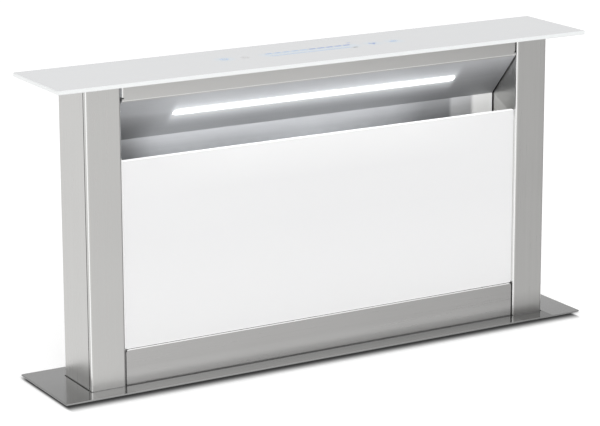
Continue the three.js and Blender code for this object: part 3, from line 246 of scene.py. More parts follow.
WALL_DEPTH = (0.033, 0.037)
BAND_SHADE = 0.25                         # on the wall, just left of its light patches
BAND_RIGHT = (0.0857, 0.1207)
PATCH_LIGHT = 0.13
PATCH_RIGHT = (0.0507, 0.0547)
END_PATCH_LIGHT = 0.35
END_PATCH_RIGHT = (0.0227, 0.0277)
LAMPLIGHT_LEFT = (0.0277, 0.0597)         # where the lamp's light on the sheet sets in
WALL_FOOT_LIGHT = (0.09, 0.16)            # at the ends of the next span
WALL_FOOT_X = (-0.1, 0.0)
WALL_FOOT_END_X = (0.01, 0.13)
WALL_FOOT_HEIGHT = (0.007, 0.024)
WALL_FOOT_REST = 0.4                      # share of the light that stays above
WASH_MIDDLE_X = 0.01
WASH_LIGHT = (0.1, 0.045)                 # at the ends of the next span
WASH_REACH = (0.06, 0.22)                 # from its middle, to both sides
WASH_END_RIGHT = (0.0357, 0.1257)
LEFT_WASH_LIGHT = 0.065
LEFT_WASH_LEFT = (0.0857, 0.1657)

# ---- Columns, strip and plate ---------------------------------------------------------------

CHEEK_SKIN_X = (0.0005, 0.0015)           # behind the cheek's face
SOFFIT_FALL = 1.1875                      # height lost per depth along the soffit
SOFFIT_HEIGHT = (0.07339, 0.07439)        # of the soffit at the rail's face, over the liner's foot
BEHIND_WALL_DEPTH = (0.0422, 0.0428)
BEHIND_LINER_SHADE = 0.88
WEDGE_RISE = 0.458                        # the light wedge at the cheek's foot: height gained per depth
WEDGE_HEIGHT = (0.00389, 0.00639)         # of its upper edge at the rail's face, over the liner's foot
WEDGE_REST = 0.04                         # share of the shade that stays in the wedge
MOUTH_SHADE = 0.26
MOUTH_SHADE_HEIGHT = (0.026, 0.038)       # over the liner's foot
LIP_DEPTH = 0.0006                        # of the cheek's painted light lip beside the pane
COLUMN_FOOT_LIGHT = 0.3
COLUMN_FOOT_LIGHT_HEIGHT = 0.01
COLUMN_FOOT_LIGHT_X = (-0.2, 0.0)         # takes in the left column
COLUMN_FOOT_SHADE = 0.3
COLUMN_FOOT_SHADE_HEIGHT = 0.025
COLUMN_FOOT_SHADE_X = (0.0, 0.2)          # takes in the right column
COLUMN_GAP_GLOW = 0.1

PLATE_GAP = 0.0005                        # height of the lit gap over the plate
STRIP_EDGE_GLOW = 0.22
STRIP_EDGE_Z = (-0.0009, -0.0003)         # over the strip's top
STRIP_GAP_GLOW = 0.055
STRIP_FOOT_LIGHT = 0.34
STRIP_FOOT_HEIGHT = 0.018

FRONT_REST = 0.3                          # share of the strip's shade left at the plate's front edge
STRIP_STANDOFF = 0.006                    # the strip's shade is whole this far in front of it
STRIP_SHADE = (0.28, 0.5)                 # at the strip's left and right end
LEFT_COLUMN_SHADE = 0.22
RIGHT_COLUMN_SHADE = 0.45
SIDE_SHADE = 0.15                         # beside the tower, at the plate's front edge
SIDE_SHADE_DEPTH = 0.083                  # over which it fades towards the plate's rear
SHADE_BORDER = 0.001
SIDE_BORDER = 0.002

# ---- Touch signs and screws -----------------------------------------------------------------

# Places on the glass top are from its middle.
SIGN_THICK = 0.00004
SIGN_STROKE = 0.0011
RING_STEPS = 40                           # in a whole round
POWER_SIGN = (-0.0955, 0.005, 0.0034)     # middle and radius
CLOCK_SIGN = (-0.0737, 0.0022, 0.0033)
FAN_SIGN = (0.0732, 0.0019, 0.0038)
FAN_BLADES = 3
LAMP_SIGN = (0.0978, 0.0002, 0.0026)
LAMP_RAYS = 5
LEVEL_SIGN = (0.0477, -0.0067, 0.0024)    # middle and half length
LEVEL_STROKE = 2.0 * SIGN_STROKE
SLIDER_LEFT = -0.048
SLIDER_RIGHT = 0.052
SLIDER_STEPS = 10
SLIDER_GAP = 0.0026
SLIDER_Y = 0.0075
SLIDER_STROKE = 2.2 * SIGN_STROKE
UNDERLINE_Y = -0.0043
UNDERLINE_RIGHT = 0.044
TICK_Y = 0.0166
TICK_X = (-0.001, 0.0035)                 # from the slider's right end
SLIDER_HALO = (0.001, 0.0016, 0.048)      # middle and half length of the light under the slider
SIGN_HALO = 0.001                         # half length of the light under the other lit signs
LAMP_HALO_LIFT = 0.001                    # it takes in the lamp sign's rays
HALO_REACH = (0.003, 0.0125)
HALO_LIGHT = 0.7
HALO_BLUE = (0.67, 0.8, 0.92)

SCREW_RADIUS = 0.0034
SCREW_RIM = 0.94 * SCREW_RADIUS
SCREW_PROUD = 0.0002
SOCKET_RADIUS = 0.0013
SOCKET_RIM = 1.25 * SOCKET_RADIUS
SOCKET_FLOOR = 0.2 * SCREW_PROUD
SCREW_SIDES = 28
SCREW_INSET = 0.011                       # from the rear panel's sides and top
SCREW_COLUMNS = 5
LOWER_ROWS = (0.14, 0.27)                 # below the rear panel's top, with a screw at each end


# ---- Node trees -----------------------------------------------------------------------------

class Tree:
    """Adds nodes to a node tree and links them by socket name."""

    def __init__(self, owner, empty=False):
        owner.use_nodes = True
        self.tree = owner.node_tree
        if empty:
            self.tree.nodes.clear()

    def add(self, kind, settings=None, **inputs):
        """A new node. In the names of its inputs _ stands for a space, and a number for their order."""
        node = self.tree.nodes.new(kind)
        for key, value in (settings or {}).items():
            setattr(node, key, value)
        for key, value in inputs.items():
            self.put(node, key.replace("_", " "), value)
        return node

    def put(self, node, socket, value):
        """Links a socket to an output, or gives it a value of its own."""
        socket = node.inputs[int(socket) if socket.isdigit() else socket]
        if isinstance(value, bpy.types.NodeSocket):
            self.tree.links.new(value, socket)
        elif isinstance(value, (tuple, list)) and len(value) == 3 and socket.type == "RGBA":
            socket.default_value = (*value, 1.0)
        else:
            socket.default_value = value

    def axes(self, coordinates):
        """X, Y and Z of the surface's place, with "Object", or of its normal, with "Normal"."""
        vector = self.add("ShaderNodeTexCoord").outputs[coordinates]
        return self.add("ShaderNodeSeparateXYZ", Vector=vector).outputs

    def math(self, operation, first, *rest):
        """Works an operation through its values from left to right."""
        for value in rest or (0.0,):
            node = self.add("ShaderNodeMath", {"operation": operation}, **{"0": first, "1": value})
            first = node.outputs[0]
        return first

    def times(self, *values):
        return self.math("MULTIPLY", *values)

    def plus(self, *values):
        return self.math("ADD", *values)

    def less(self, value, taken):
        return self.math("SUBTRACT", value, taken)

    def most(self, *values):
        return self.math("MAXIMUM", *values)

    def size(self, value):
        return self.math("ABSOLUTE", value)

    def slide(self, value, span, levels):
        """Goes from the first level to the second while value crosses the span, and holds outside it."""
        return self.add("ShaderNodeMapRange", Value=value, From_Min=span[0], From_Max=span[1],
                        To_Min=levels[0], To_Max=levels[1]).outputs[0]

    def rise(self, value, span, top=1.0):
        return self.slide(value, span, (0.0, top))

    def fall(self, value, span, top=1.0):
        return self.slide(value, span, (top, 0.0))

    def past(self, value, middle, reach):
        """How far a coordinate lies outside a stretch, and 0 inside it."""
        return self.most(self.less(self.size(self.less(value, middle)), reach), 0.0)

    def length(self, *parts):
        return self.math("SQRT", self.plus(*[self.times(part, part) for part in parts]))

    def between(self, share, a, b):
        """A number between a and b."""
        return self.add("ShaderNodeMix", **{"0": share, "2": a, "3": b}).outputs[0]

    def blend(self, share, a, b):
        """A colour between a and b."""
        return self.add("ShaderNodeMix", {"data_type": "RGBA"}, **{"0": share, "6": a, "7": b}).outputs[2]

    def choose(self, share, a, b):
        """The shader b where share is 1, and a elsewhere."""
        return self.add("ShaderNodeMixShader", **{"0": share, "1": a, "2": b}).outputs[0]


class Coat(Tree):
    """A new material, with its shader at hand."""

    def __init__(self, name):
        self.name = name                      # the material's own may get a number
        self.material = bpy.data.materials.new(name)
        super().__init__(self.material)
        self.shader = self.tree.nodes["Principled BSDF"]

    def set(self, **inputs):
        """Gives the shader's inputs a value or a link. In their names _ stands for a space."""
        for key, value in inputs.items():
            self.put(self.shader, key.replace("_", " "), value)

    def base(self):
        """The base colour as it is so far."""
        return self.shader.inputs["Base Color"].links[0].from_socket

    def glow(self, colour, strength=1.0):
        self.set(Emission_Color=colour, Emission_Strength=strength)

    def bump(self, height, distance, strength=BUMP_STRENGTH):
        bump = self.add("ShaderNodeBump", Height=height, Strength=strength, Distance=distance)
        self.set(Normal=bump.outputs[0])

    def noise(self, scale, detail=CRISP, stretch=(1.0, 1.0, 1.0)):
        place = self.add("ShaderNodeTexCoord").outputs["Object"]
        mapping = self.add("ShaderNodeMapping", Vector=place, Scale=stretch)
        return self.add("ShaderNodeTexNoise", Vector=mapping.outputs[0], Scale=scale,
                        Detail=detail).outputs["Fac"]


def shifted(span, base):
    """A span given from a face or an edge, as a span of the frame's own coordinate."""
    return base + span[0], base + span[1]


def tinted(colour, factor):
    return tuple(channel * factor for channel in colour)


# ---- Camera, room and floor -----------------------------------------------------------------

def make_camera():
    forward = Vector((
        math.sin(CAMERA_YAW) * math.cos(CAMERA_PITCH),
        math.cos(CAMERA_YAW) * math.cos(CAMERA_PITCH),
        math.sin(CAMERA_PITCH),
    ))
    level = Vector((math.cos(CAMERA_YAW), -math.sin(CAMERA_YAW), 0.0))
    upright = level.cross(forward)
    right = math.cos(CAMERA_ROLL) * level + math.sin(CAMERA_ROLL) * upright
    up = math.cos(CAMERA_ROLL) * upright - math.sin(CAMERA_ROLL) * level
    data = bpy.data.cameras.new("camera")
    data.sensor_fit = "HORIZONTAL"
    data.sensor_width = SENSOR
    data.lens = FOCAL_PIXELS / IMAGE_WIDTH * SENSOR
    data.shift_y = HORIZON_SHIFT
    camera = bpy.data.objects.new("camera", data)
    turn = Matrix((right, up, -forward)).transposed().to_4x4()
    camera.matrix_world = Matrix.Translation(CAMERA_PLACE) @ turn
    bpy.context.scene.collection.objects.link(camera)
    bpy.context.scene.camera = camera


def make_world():
    """White for the camera; metal and glass see a room that darkens to the right and, behind, overhead."""
    world = bpy.data.worlds.new("studio")
    bpy.context.scene.world = world
    nodes = Tree(world, empty=True)
    path = nodes.add("ShaderNodeLightPath").outputs
    x, y, z = nodes.axes("Generated")
    right = nodes.times(nodes.fall(y, ROOM_FRONT_Y), nodes.rise(x, ROOM_RIGHT_X, ROOM_RIGHT_SHADE))
    overhead = nodes.times(nodes.rise(y, ROOM_BEHIND_Y),
                           nodes.rise(z, ROOM_OVERHEAD_Z, ROOM_OVERHEAD_SHADE))
    room = nodes.times(nodes.less(ROOM_LEVEL, right), nodes.less(1.0, overhead))
    ambient, studio, backdrop = [nodes.add("ShaderNodeBackground", Color=WHITE, Strength=level).outputs[0]
                                 for level in (AMBIENT, room, 1.0)]
    seen = nodes.most(path["Is Camera Ray"], path["Is Transmission Ray"])
    lit = nodes.choose(path["Is Glossy Ray"], ambient, studio)
    nodes.add("ShaderNodeOutputWorld", Surface=nodes.choose(seen, lit, backdrop))


def floor_light(nodes):
    """The floor's share of light: least at the plate's edge, and all of it a little way off."""
    place = nodes.axes("Object")
    away = []
    for i, axis in enumerate("XY"):
        low, high = PLATE_LOW[i] + SHADOW_TRIM_LOW[i], PLATE_HIGH[i] - SHADOW_TRIM_HIGH[i]
        outside = nodes.past(place[axis], (low + high) / 2, (high - low) / 2)
        away.append(nodes.math("DIVIDE", outside, SHADOW_REACH[i]))
    ramp = nodes.add("ShaderNodeMapRange", {"interpolation_type": "SMOOTHSTEP"}, Value=nodes.length(*away),
                     To_Min=SHADOW_FLOOR, To_Max=1.0)
    return ramp.outputs[0]


def floor_material():
    """Matt and pale; for the camera it is lifted to white where nothing shades it."""
    material = bpy.data.materials.new("floor")
    nodes = Tree(material, empty=True)
    share = floor_light(nodes)
    matt = nodes.add("ShaderNodeBsdfDiffuse", Color=nodes.blend(share, BLACK, (FLOOR_TONE,) * 3)).outputs[0]
    lift = nodes.add("ShaderNodeEmission", Color=WHITE, Strength=nodes.times(share, FLOOR_LIFT)).outputs[0]
    lifted = nodes.add("ShaderNodeAddShader", **{"0": matt, "1": lift}).outputs[0]
    seen = nodes.add("ShaderNodeLightPath").outputs["Is Camera Ray"]
    nodes.add("ShaderNodeOutputMaterial", Surface=nodes.choose(seen, matt, lifted))
    return material


def make_floor():
    mesh = bpy.data.meshes.new("floor")
    shape = bmesh.new()
    bmesh.ops.create_circle(shape, cap_ends=True, radius=FLOOR_RADIUS, segments=FLOOR_SIDES)
    shape.to_mesh(mesh)
    shape.free()
    mesh.materials.append(floor_material())
    floor = bpy.data.objects.new("floor", mesh)
    floor.visible_glossy = False              # metal and glass see the room's own tones instead
    bpy.context.scene.collection.objects.link(floor)


def make_softboxes():
    for name, (place, size, watts) in SOFTBOXES.items():
        data = bpy.data.lights.new(name, "AREA")
        data.shape = "RECTANGLE"
        data.size, data.size_y = size
        data.energy = watts
        light = bpy.data.objects.new(name, data)
        light.location = place
        light.rotation_euler = (Vector(SOFTBOX_TARGET) - Vector(place)).to_track_quat("-Z", "Y").to_euler()
        light.visible_glossy = False
        bpy.context.scene.collection.objects.link(light)


# ---- Steel, glass and other surfaces --------------------------------------------------------

def folds(coat):
    """1 on upright folds, whose normals lie between two faces, and 0 on the faces."""
    x, y, _ = coat.axes("Normal")
    return coat.rise(coat.size(coat.times(x, y)), FOLD_TURN)


def brushed(name, colour, grain, rough, contrast=STEEL_CONTRAST):
    """Fine hairline grain; folds carry a painted highlight and are smoother than the faces."""
    coat = Coat(name)
    stretch = GRAINS[grain]
    hairlines = coat.noise(HAIRLINE_SCALE, SOFT, stretch)
    lines = coat.between(0.5, hairlines, coat.noise(STREAK_SCALE, CRISP, stretch))
    tone = coat.rise(coat.between(CLOUD_SHARE, lines, coat.noise(CLOUD_SCALE, SOFT)), NOISE_CORE)
    face = coat.blend(tone, tinted(colour, 1.0 - contrast), tinted(colour, 1.0 + contrast))
    fold = folds(coat)
    face_rough = coat.slide(lines, NOISE_CORE, shifted(BRUSHED_SPREAD, rough))
    coat.set(Base_Color=coat.blend(fold, face, HIGHLIGHT_STEEL), Metallic=1.0,
             Roughness=coat.less(face_rough, coat.times(fold, FOLD_RUB)))
    coat.bump(hairlines, HAIRLINE_DEPTH)
    return coat


def plain(name, colour, rough, grain, depth, metallic=0.0, contrast=PLAIN_CONTRAST):
    """A surface with a fine grain and a slight drift of tone."""
    coat = Coat(name)
    grains = coat.noise(grain)
    drift = coat.noise(DRIFT_SCALE, SOFT)
    coat.set(Base_Color=coat.blend(drift, tinted(colour, 1.0 - contrast), tinted(colour, 1.0 + contrast)),
             Roughness=coat.slide(grains, NOISE_REACH, shifted(PLAIN_SPREAD, rough)), Metallic=metallic)
    coat.bump(grains, depth)
    return coat


def galvanised(name):
    """Zinc-coated sheet with its pale crystals."""
    coat = Coat(name)
    place = coat.add("ShaderNodeTexCoord").outputs["Object"]
    crystals = coat.add("ShaderNodeTexVoronoi", Vector=place, Scale=CRYSTAL_SCALE).outputs["Color"]
    tone = coat.add("ShaderNodeSeparateColor", Color=crystals).outputs[0]
    dark, light = [tinted(ZINC_COAT, factor) for factor in CRYSTAL_TONES]
    coat.set(Base_Color=coat.blend(tone, dark, light), Metallic=1.0,
             Roughness=coat.slide(tone, (0.0, 1.0), CRYSTAL_ROUGH))
    coat.bump(coat.noise(CRYSTAL_GRAIN), CRYSTAL_DEPTH)
    return coat


def circuit_board(name):
    """Solder mask with copper runs showing through as a paler grid."""
    coat = Coat(name)
    place = coat.add("ShaderNodeTexCoord").outputs["Object"]
    grid = coat.add("ShaderNodeTexBrick", Vector=place, Scale=RUN_SCALE, Mortar_Size=RUN_WIDTH)
    runs = grid.outputs["Fac"]
    coat.set(Base_Color=coat.blend(runs, BOARD_GREEN, tinted(BOARD_GREEN, RUN_TONE)), Roughness=BOARD_ROUGH)
    coat.bump(runs, RUN_DEPTH)
    return coat


def woven(name):
    """Wire mesh: crossing wires a little over half a millimetre apart."""
    coat = Coat(name)
    place = coat.add("ShaderNodeTexCoord").outputs["Object"]
    wires = [coat.add("ShaderNodeTexWave", {"bands_direction": axis}, Vector=place, Scale=WIRE_SCALE,
                      Distortion=WIRE_WAVER).outputs["Fac"] for axis in ("X", "Z")]
    weave = coat.most(*wires)
    tone = coat.blend(weave, tinted(WIRE, WIRE_SHADE), WIRE)
    coat.set(Base_Color=tone, Metallic=1.0, Roughness=WIRE_ROUGH)
    coat.bump(weave, WIRE_DEPTH, WIRE_STRENGTH)
    return coat


def sign_light(name, colour):
    """A touch sign's faintly lit ink."""
    coat = Coat(name)
    tone = coat.blend(coat.noise(SIGN_GRAIN), tinted(colour, SIGN_SHADE), colour)
    coat.set(Base_Color=tone, Roughness=SIGN_ROUGH)
    coat.glow(tone, SIGN_LIGHT)
    return coat


def painted_glass(name, axis, face, edge, edge_glow=0.0):
    """Clear glass painted white behind: an even gloss face square to an axis, an edge in a lighter tone as
    a painted highlight, and a painted glow on the edge where edge_glow is given.
    """
    coat = Coat(name)
    on_face = coat.rise(coat.size(coat.axes("Normal")[axis]), GLASS_FACING)
    drift = coat.blend(coat.noise(GLASS_DRIFT_SCALE, SOFT), tinted(face, 1.0 - GLASS_DRIFT),
                       tinted(face, 1.0 + GLASS_DRIFT))
    rough = coat.slide(coat.noise(GLASS_GRAIN), NOISE_REACH, GLASS_ROUGH)
    coat.set(Base_Color=coat.blend(on_face, edge, drift), Roughness=rough,
             Coat_Weight=COAT_WEIGHT, Coat_Roughness=COAT_ROUGH)
    if edge_glow:
        coat.glow(coat.blend(on_face, tinted(edge, edge_glow), BLACK))
    return coat


def front_glass(name):
    """The front panel's glass, with painted light towards its foot and, in the middle, below the lamp."""
    coat = painted_glass(name, "Y", PANE_WHITE, PANE_EDGE, PANE_EDGE_GLOW)
    x, _, z = coat.axes("Object")
    foot = coat.fall(z, shifted(PANE_FOOT_LIGHT_Z, PANE_LOW.z))
    head = coat.times(coat.rise(z, shifted(PANE_HEAD_LIGHT_Z, PANE_HIGH.z), PANE_HEAD_LIGHT),
                      coat.slide(coat.size(x), PANE_HEAD_LIGHT_X, (1.0, PANE_HEAD_LIGHT_ENDS)))
    coat.set(Base_Color=coat.blend(coat.most(foot, head), coat.base(), WHITE))
    return coat


def top_glass(name):
    """The glass top, with painted light making it paler to the left, and a painted pale blue light under
    its touch signs.
    """
    coat = painted_glass(name, "Z", TOP_WHITE, TOP_EDGE)
    x, y, _ = coat.axes("Object")
    lamp_x, lamp_y, _ = LAMP_SIGN
    spots = [SLIDER_HALO, (*POWER_SIGN[:2], SIGN_HALO), (*FAN_SIGN[:2], SIGN_HALO),
             (lamp_x, lamp_y + LAMP_HALO_LIFT, SIGN_HALO)]
    halos = [coat.fall(coat.length(coat.past(x, middle, half), coat.less(y, level)), HALO_REACH)
             for middle, level, half in spots]
    halo = coat.times(coat.most(*halos), coat.rise(coat.axes("Normal")["Z"], GLASS_FACING, HALO_LIGHT))
    paler = coat.fall(x, (TOP_LOW.x, TOP_LOW.x + TOP_PALER_LENGTH), TOP_PALER)
    face = coat.blend(paler, coat.base(), WHITE)
    coat.set(Base_Color=coat.blend(halo, face, HALO_BLUE))
    return coat


# ---- The lamp and the liner round it --------------------------------------------------------

def lamp_distance(coat, end_hold):
    """Distance to the lamp's middle line; past its ends it grows end_hold times as fast."""
    x, y, z = coat.axes("Object")
    middle = (LENS_LOW + LENS_HIGH) / 2
    past_end = coat.past(x, middle.x, LENS_HIGH.x - LENS_RIM)
    return coat.length(coat.times(past_end, end_hold), coat.less(y, middle.y), coat.less(z, middle.z))


def lit_lens(name):
    """White hot along the middle, and rolling off softly at the rim."""
    coat = Coat(name)
    white = coat.blend(coat.noise(LENS_GRAIN), LENS_WHITE, WHITE)
    away = lamp_distance(coat, 1.0)
    core = coat.fall(away, (LENS_CORE - LENS_CORE_EDGE, LENS_CORE))
    rim = coat.slide(away, (LENS_CORE, LENS_RIM), [level / LAMP_STRENGTH for level in RIM_GLOW])
    coat.set(Base_Color=white, Roughness=LENS_ROUGH)
    coat.glow(coat.blend(coat.most(core, rim), BLACK, white), LAMP_STRENGTH)
    return coat


def liner_shade(coat, depth, left, right, wall):
    """How much darker the liner is: behind the rail, at its left end, and on the wall by the patches."""
    behind_rail = coat.times(coat.fall(depth, BEHIND_RAIL_DEPTH, BEHIND_RAIL_SHADE),
                             coat.rise(right, BEHIND_RAIL_RIGHT))
    left_end = coat.times(coat.fall(left, LEFT_END_LEFT, LEFT_END_SHADE), coat.rise(depth, LEFT_END_DEPTH))
    band = coat.times(wall, coat.fall(right, BAND_RIGHT, BAND_SHADE), coat.rise(right, PATCH_RIGHT))
    return coat.most(behind_rail, left_end, band)


def wall_light(coat, x, height, right, lit):
    """The lamp's painted light along the back wall's foot, and two painted light patches at its right end,
    standing in for reflections.
    """
    patches = coat.plus(coat.fall(right, PATCH_RIGHT, PATCH_LIGHT),
                        coat.fall(right, END_PATCH_RIGHT, END_PATCH_LIGHT))
    foot = coat.times(coat.slide(x, WALL_FOOT_X, WALL_FOOT_LIGHT), lit, coat.fall(x, WALL_FOOT_END_X),
                      coat.slide(height, WALL_FOOT_HEIGHT, (1.0, WALL_FOOT_REST)))
    return coat.plus(patches, foot)


def sheet_light(coat, x, left, right, lit):
    """The lamp's faint wash on the whole sheet, with a little more near the left end."""
    aside = coat.size(coat.less(x, WASH_MIDDLE_X))
    wash = coat.times(coat.slide(aside, WASH_REACH, WASH_LIGHT), coat.rise(right, WASH_END_RIGHT))
    return coat.plus(wash, coat.times(lit, coat.fall(left, LEFT_WASH_LEFT, LEFT_WASH_LIGHT)))


def liner_steel(name):
    """Satin steel with the lamp's soft light on it, and the rail's warmer face in front."""
    coat = brushed(name, LINER_STEEL, "level", LINER_ROUGH)
    x, y, z = coat.axes("Object")
    facing_x, facing_y, facing_z = coat.axes("Normal")
    depth, height = coat.less(y, LINER_LOW.y), coat.less(z, LINER_LOW.z)
    left, right = coat.less(x, LINER_LOW.x), coat.less(LINER_HIGH.x, x)
    rail = coat.fall(depth, RAIL_SKIN_DEPTH)
    wall = coat.times(coat.rise(depth, WALL_DEPTH), coat.fall(facing_y, WALL_FACING))

    turned_under = coat.size(coat.plus(facing_z, RAIL_FOLD_TURN))
    lower_fold = coat.times(rail, coat.fall(turned_under, RAIL_FOLD_SPREAD))
    rail_face = coat.blend(coat.rise(x, RAIL_SHADE_X, RAIL_SHADE), RAIL_STEEL, BLACK)
    inside = coat.blend(liner_shade(coat, depth, left, right, wall), coat.base(), BLACK)
    face = coat.blend(rail, inside, rail_face)
    fold = coat.most(lower_fold, folds(coat))
    coat.set(Base_Color=coat.blend(fold, face, HIGHLIGHT_STEEL), Metallic=LINER_METAL)

    near = coat.fall(lamp_distance(coat, GLOW_END_HOLD), GLOW_REACH)
    beside_lamp = coat.times(coat.math("POWER", near, GLOW_FALL), GLOW)
    lit = coat.rise(left, LAMPLIGHT_LEFT)
    on_wall = coat.times(wall, wall_light(coat, x, height, right, lit))
    on_sheet = coat.times(sheet_light(coat, x, left, right, lit), coat.less(1.0, rail))
    rail_ends = coat.times(coat.fall(depth, RAIL_END_DEPTH, RAIL_END_GLOW),
                           coat.rise(coat.size(facing_x), SIDE_FACING))
    light = coat.plus(beside_lamp, on_wall, on_sheet, rail_ends)
    tint = coat.blend(coat.fall(right, FAR_END_RIGHT), GLOW_COLOUR, FAR_END_COLOUR)
    coat.glow(coat.blend(light, BLACK, tint))
    return coat


# ---- Columns, strip and plate, with the tower's painted shade -------------------------------

def cheek_shade(coat, y, z):
    """How much darker a column's inner cheek is: a little inside the mouth, and a lot behind the liner."""
    depth, height = coat.less(y, LINER_LOW.y), coat.less(z, LINER_LOW.z)
    over_soffit = coat.rise(coat.plus(height, coat.times(depth, SOFFIT_FALL)), SOFFIT_HEIGHT)
    behind_wall = coat.rise(depth, BEHIND_WALL_DEPTH)
    behind_liner = coat.times(coat.most(over_soffit, behind_wall), BEHIND_LINER_SHADE)
    along_wedge = coat.less(height, coat.times(depth, WEDGE_RISE))
    over_wedge = coat.slide(along_wedge, WEDGE_HEIGHT, (WEDGE_REST, 1.0))
    in_mouth = coat.times(over_wedge, coat.fall(height, MOUTH_SHADE_HEIGHT, MOUTH_SHADE))
    return coat.most(behind_liner, in_mouth)


def beside_pane(coat, y, z):
    """1 on the narrow lip beside the front glass."""
    middle, half = (PANE_LOW.z + PANE_HIGH.z) / 2, (PANE_HIGH.z - PANE_LOW.z) / 2
    level = coat.math("LESS_THAN", coat.size(coat.less(z, middle)), half)
    return coat.times(level, coat.fall(y, (PANE_LOW.y, PANE_LOW.y + LIP_DEPTH)))


def over_plate(coat, z, height, level=1.0):
    """A level that fades out within a height over the plate."""
    return coat.fall(z, (PLATE_HIGH.z, PLATE_HIGH.z + height), level)


def column_steel(name):
    """Upright brushed sheet, with shaded cheeks, a lit foot on the left and a darker one on the right."""
    coat = brushed(name, STEEL, "upright", STEEL_ROUGH)
    x, y, z = coat.axes("Object")
    facing_x, facing_y, _ = coat.axes("Normal")
    cheek = coat.times(coat.fall(coat.size(x), shifted(CHEEK_SKIN_X, COLUMN_LOW.x)),
                       coat.rise(coat.size(facing_x), CHEEK_FACING))
    foot_light = coat.times(over_plate(coat, z, COLUMN_FOOT_LIGHT_HEIGHT, COLUMN_FOOT_LIGHT),
                            coat.fall(x, COLUMN_FOOT_LIGHT_X))
    foot_shade = coat.times(over_plate(coat, z, COLUMN_FOOT_SHADE_HEIGHT, COLUMN_FOOT_SHADE),
                            coat.rise(x, COLUMN_FOOT_SHADE_X))
    face = coat.blend(foot_shade, coat.blend(foot_light, coat.base(), HIGHLIGHT_STEEL), BLACK)
    inside = coat.blend(coat.times(cheek, cheek_shade(coat, y, z)), face, BLACK)
    # The cheek's narrow lip beside the pane is painted light.
    coat.set(Base_Color=coat.blend(coat.times(cheek, beside_pane(coat, y, z)), inside, LIP_LIGHT_STEEL))
    in_gap = coat.times(over_plate(coat, z, PLATE_GAP, COLUMN_GAP_GLOW),
                        coat.rise(coat.size(facing_y), GAP_FACING))
    coat.glow(coat.blend(in_gap, BLACK, WHITE))
    return coat


def strip_steel(name):
    """The strip under the front glass: a painted highlight along its top, painted light at its foot and
    faintly lit gaps.
    """
    coat = brushed(name, STRIP_STEEL, "level", STEEL_ROUGH)
    z = coat.axes("Object")["Z"]
    facing_x = coat.axes("Normal")["X"]
    edge = coat.rise(z, shifted(STRIP_EDGE_Z, STRIP_HIGH.z))
    paler = coat.blend(over_plate(coat, z, STRIP_FOOT_HEIGHT, STRIP_FOOT_LIGHT), coat.base(), HIGHLIGHT_STEEL)
    coat.set(Base_Color=coat.blend(edge, paler, HIGHLIGHT_STEEL))
    in_gap = coat.most(coat.rise(coat.size(facing_x), SIDE_FACING), over_plate(coat, z, PLATE_GAP))
    light = coat.most(coat.times(edge, STRIP_EDGE_GLOW), coat.times(in_gap, STRIP_GAP_GLOW))
    coat.glow(coat.blend(light, BLACK, WHITE))
    return coat


def plate_shade(coat):
    """How much darker the plate is: in front of the strip and the columns, and beside the tower."""
    x, y, _ = coat.axes("Object")
    at_strip = coat.times(coat.slide(y, (PLATE_LOW.y, STRIP_LOW.y - STRIP_STANDOFF), (FRONT_REST, 1.0)),
                          coat.slide(x, (STRIP_LOW.x, STRIP_HIGH.x), STRIP_SHADE))
    at_left = coat.fall(x, (STRIP_LOW.x - SHADE_BORDER, STRIP_LOW.x), LEFT_COLUMN_SHADE)
    at_right = coat.rise(x, (STRIP_HIGH.x, STRIP_HIGH.x + SHADE_BORDER), RIGHT_COLUMN_SHADE)
    ahead = coat.times(coat.most(at_strip, at_left, at_right),
                       coat.fall(y, (COLUMN_LOW.y - SHADE_BORDER, COLUMN_LOW.y)))
    beside = coat.fall(y, (PLATE_LOW.y, PLATE_LOW.y + SIDE_SHADE_DEPTH), SIDE_SHADE)
    past_end = coat.rise(coat.size(x), (COLUMN_HIGH.x, COLUMN_HIGH.x + SIDE_BORDER))
    return coat.between(past_end, ahead, beside)


def plate_steel(name):
    """Smooth rolled sheet that mirrors the tower, with painted shade in front of and beside it; its cut
    edges are painted dark as shade.
    """
    coat = brushed(name, PLATE_STEEL, "level", PLATE_ROUGH, PLATE_CONTRAST)
    flat = coat.rise(coat.axes("Normal")["Z"], PLATE_FACING)
    face = coat.blend(plate_shade(coat), coat.base(), BLACK)
    coat.set(Base_Color=coat.blend(flat, CUT_EDGE_SHADE, face))
    return coat


# ---- Which node wears which finish ----------------------------------------------------------

COATS = [
    column_steel("steel_upright"),
    brushed("steel_back", STEEL, "upright", STEEL_ROUGH),
    brushed("steel_level", STRIP_STEEL, "level", STEEL_ROUGH),
    strip_steel("steel_strip"),
    plate_steel("steel_plate"),
    liner_steel("liner_steel"),
    brushed("frame_aluminium", FRAME_ALUMINIUM, "level", STEEL_ROUGH, FRAME_CONTRAST),
    galvanised("galvanised"),
    top_glass("top_glass"),
    front_glass("front_glass"),
    woven("mesh"),
    lit_lens("lens"),
    circuit_board("board"),
    *[plain(name, **values) for name, values in PLAIN_FINISHES.items()],
    *[sign_light(name, colour) for name, colour in SIGN_LIGHTS.items()],
]
FINISHES = {coat.name: coat.material for coat in COATS}

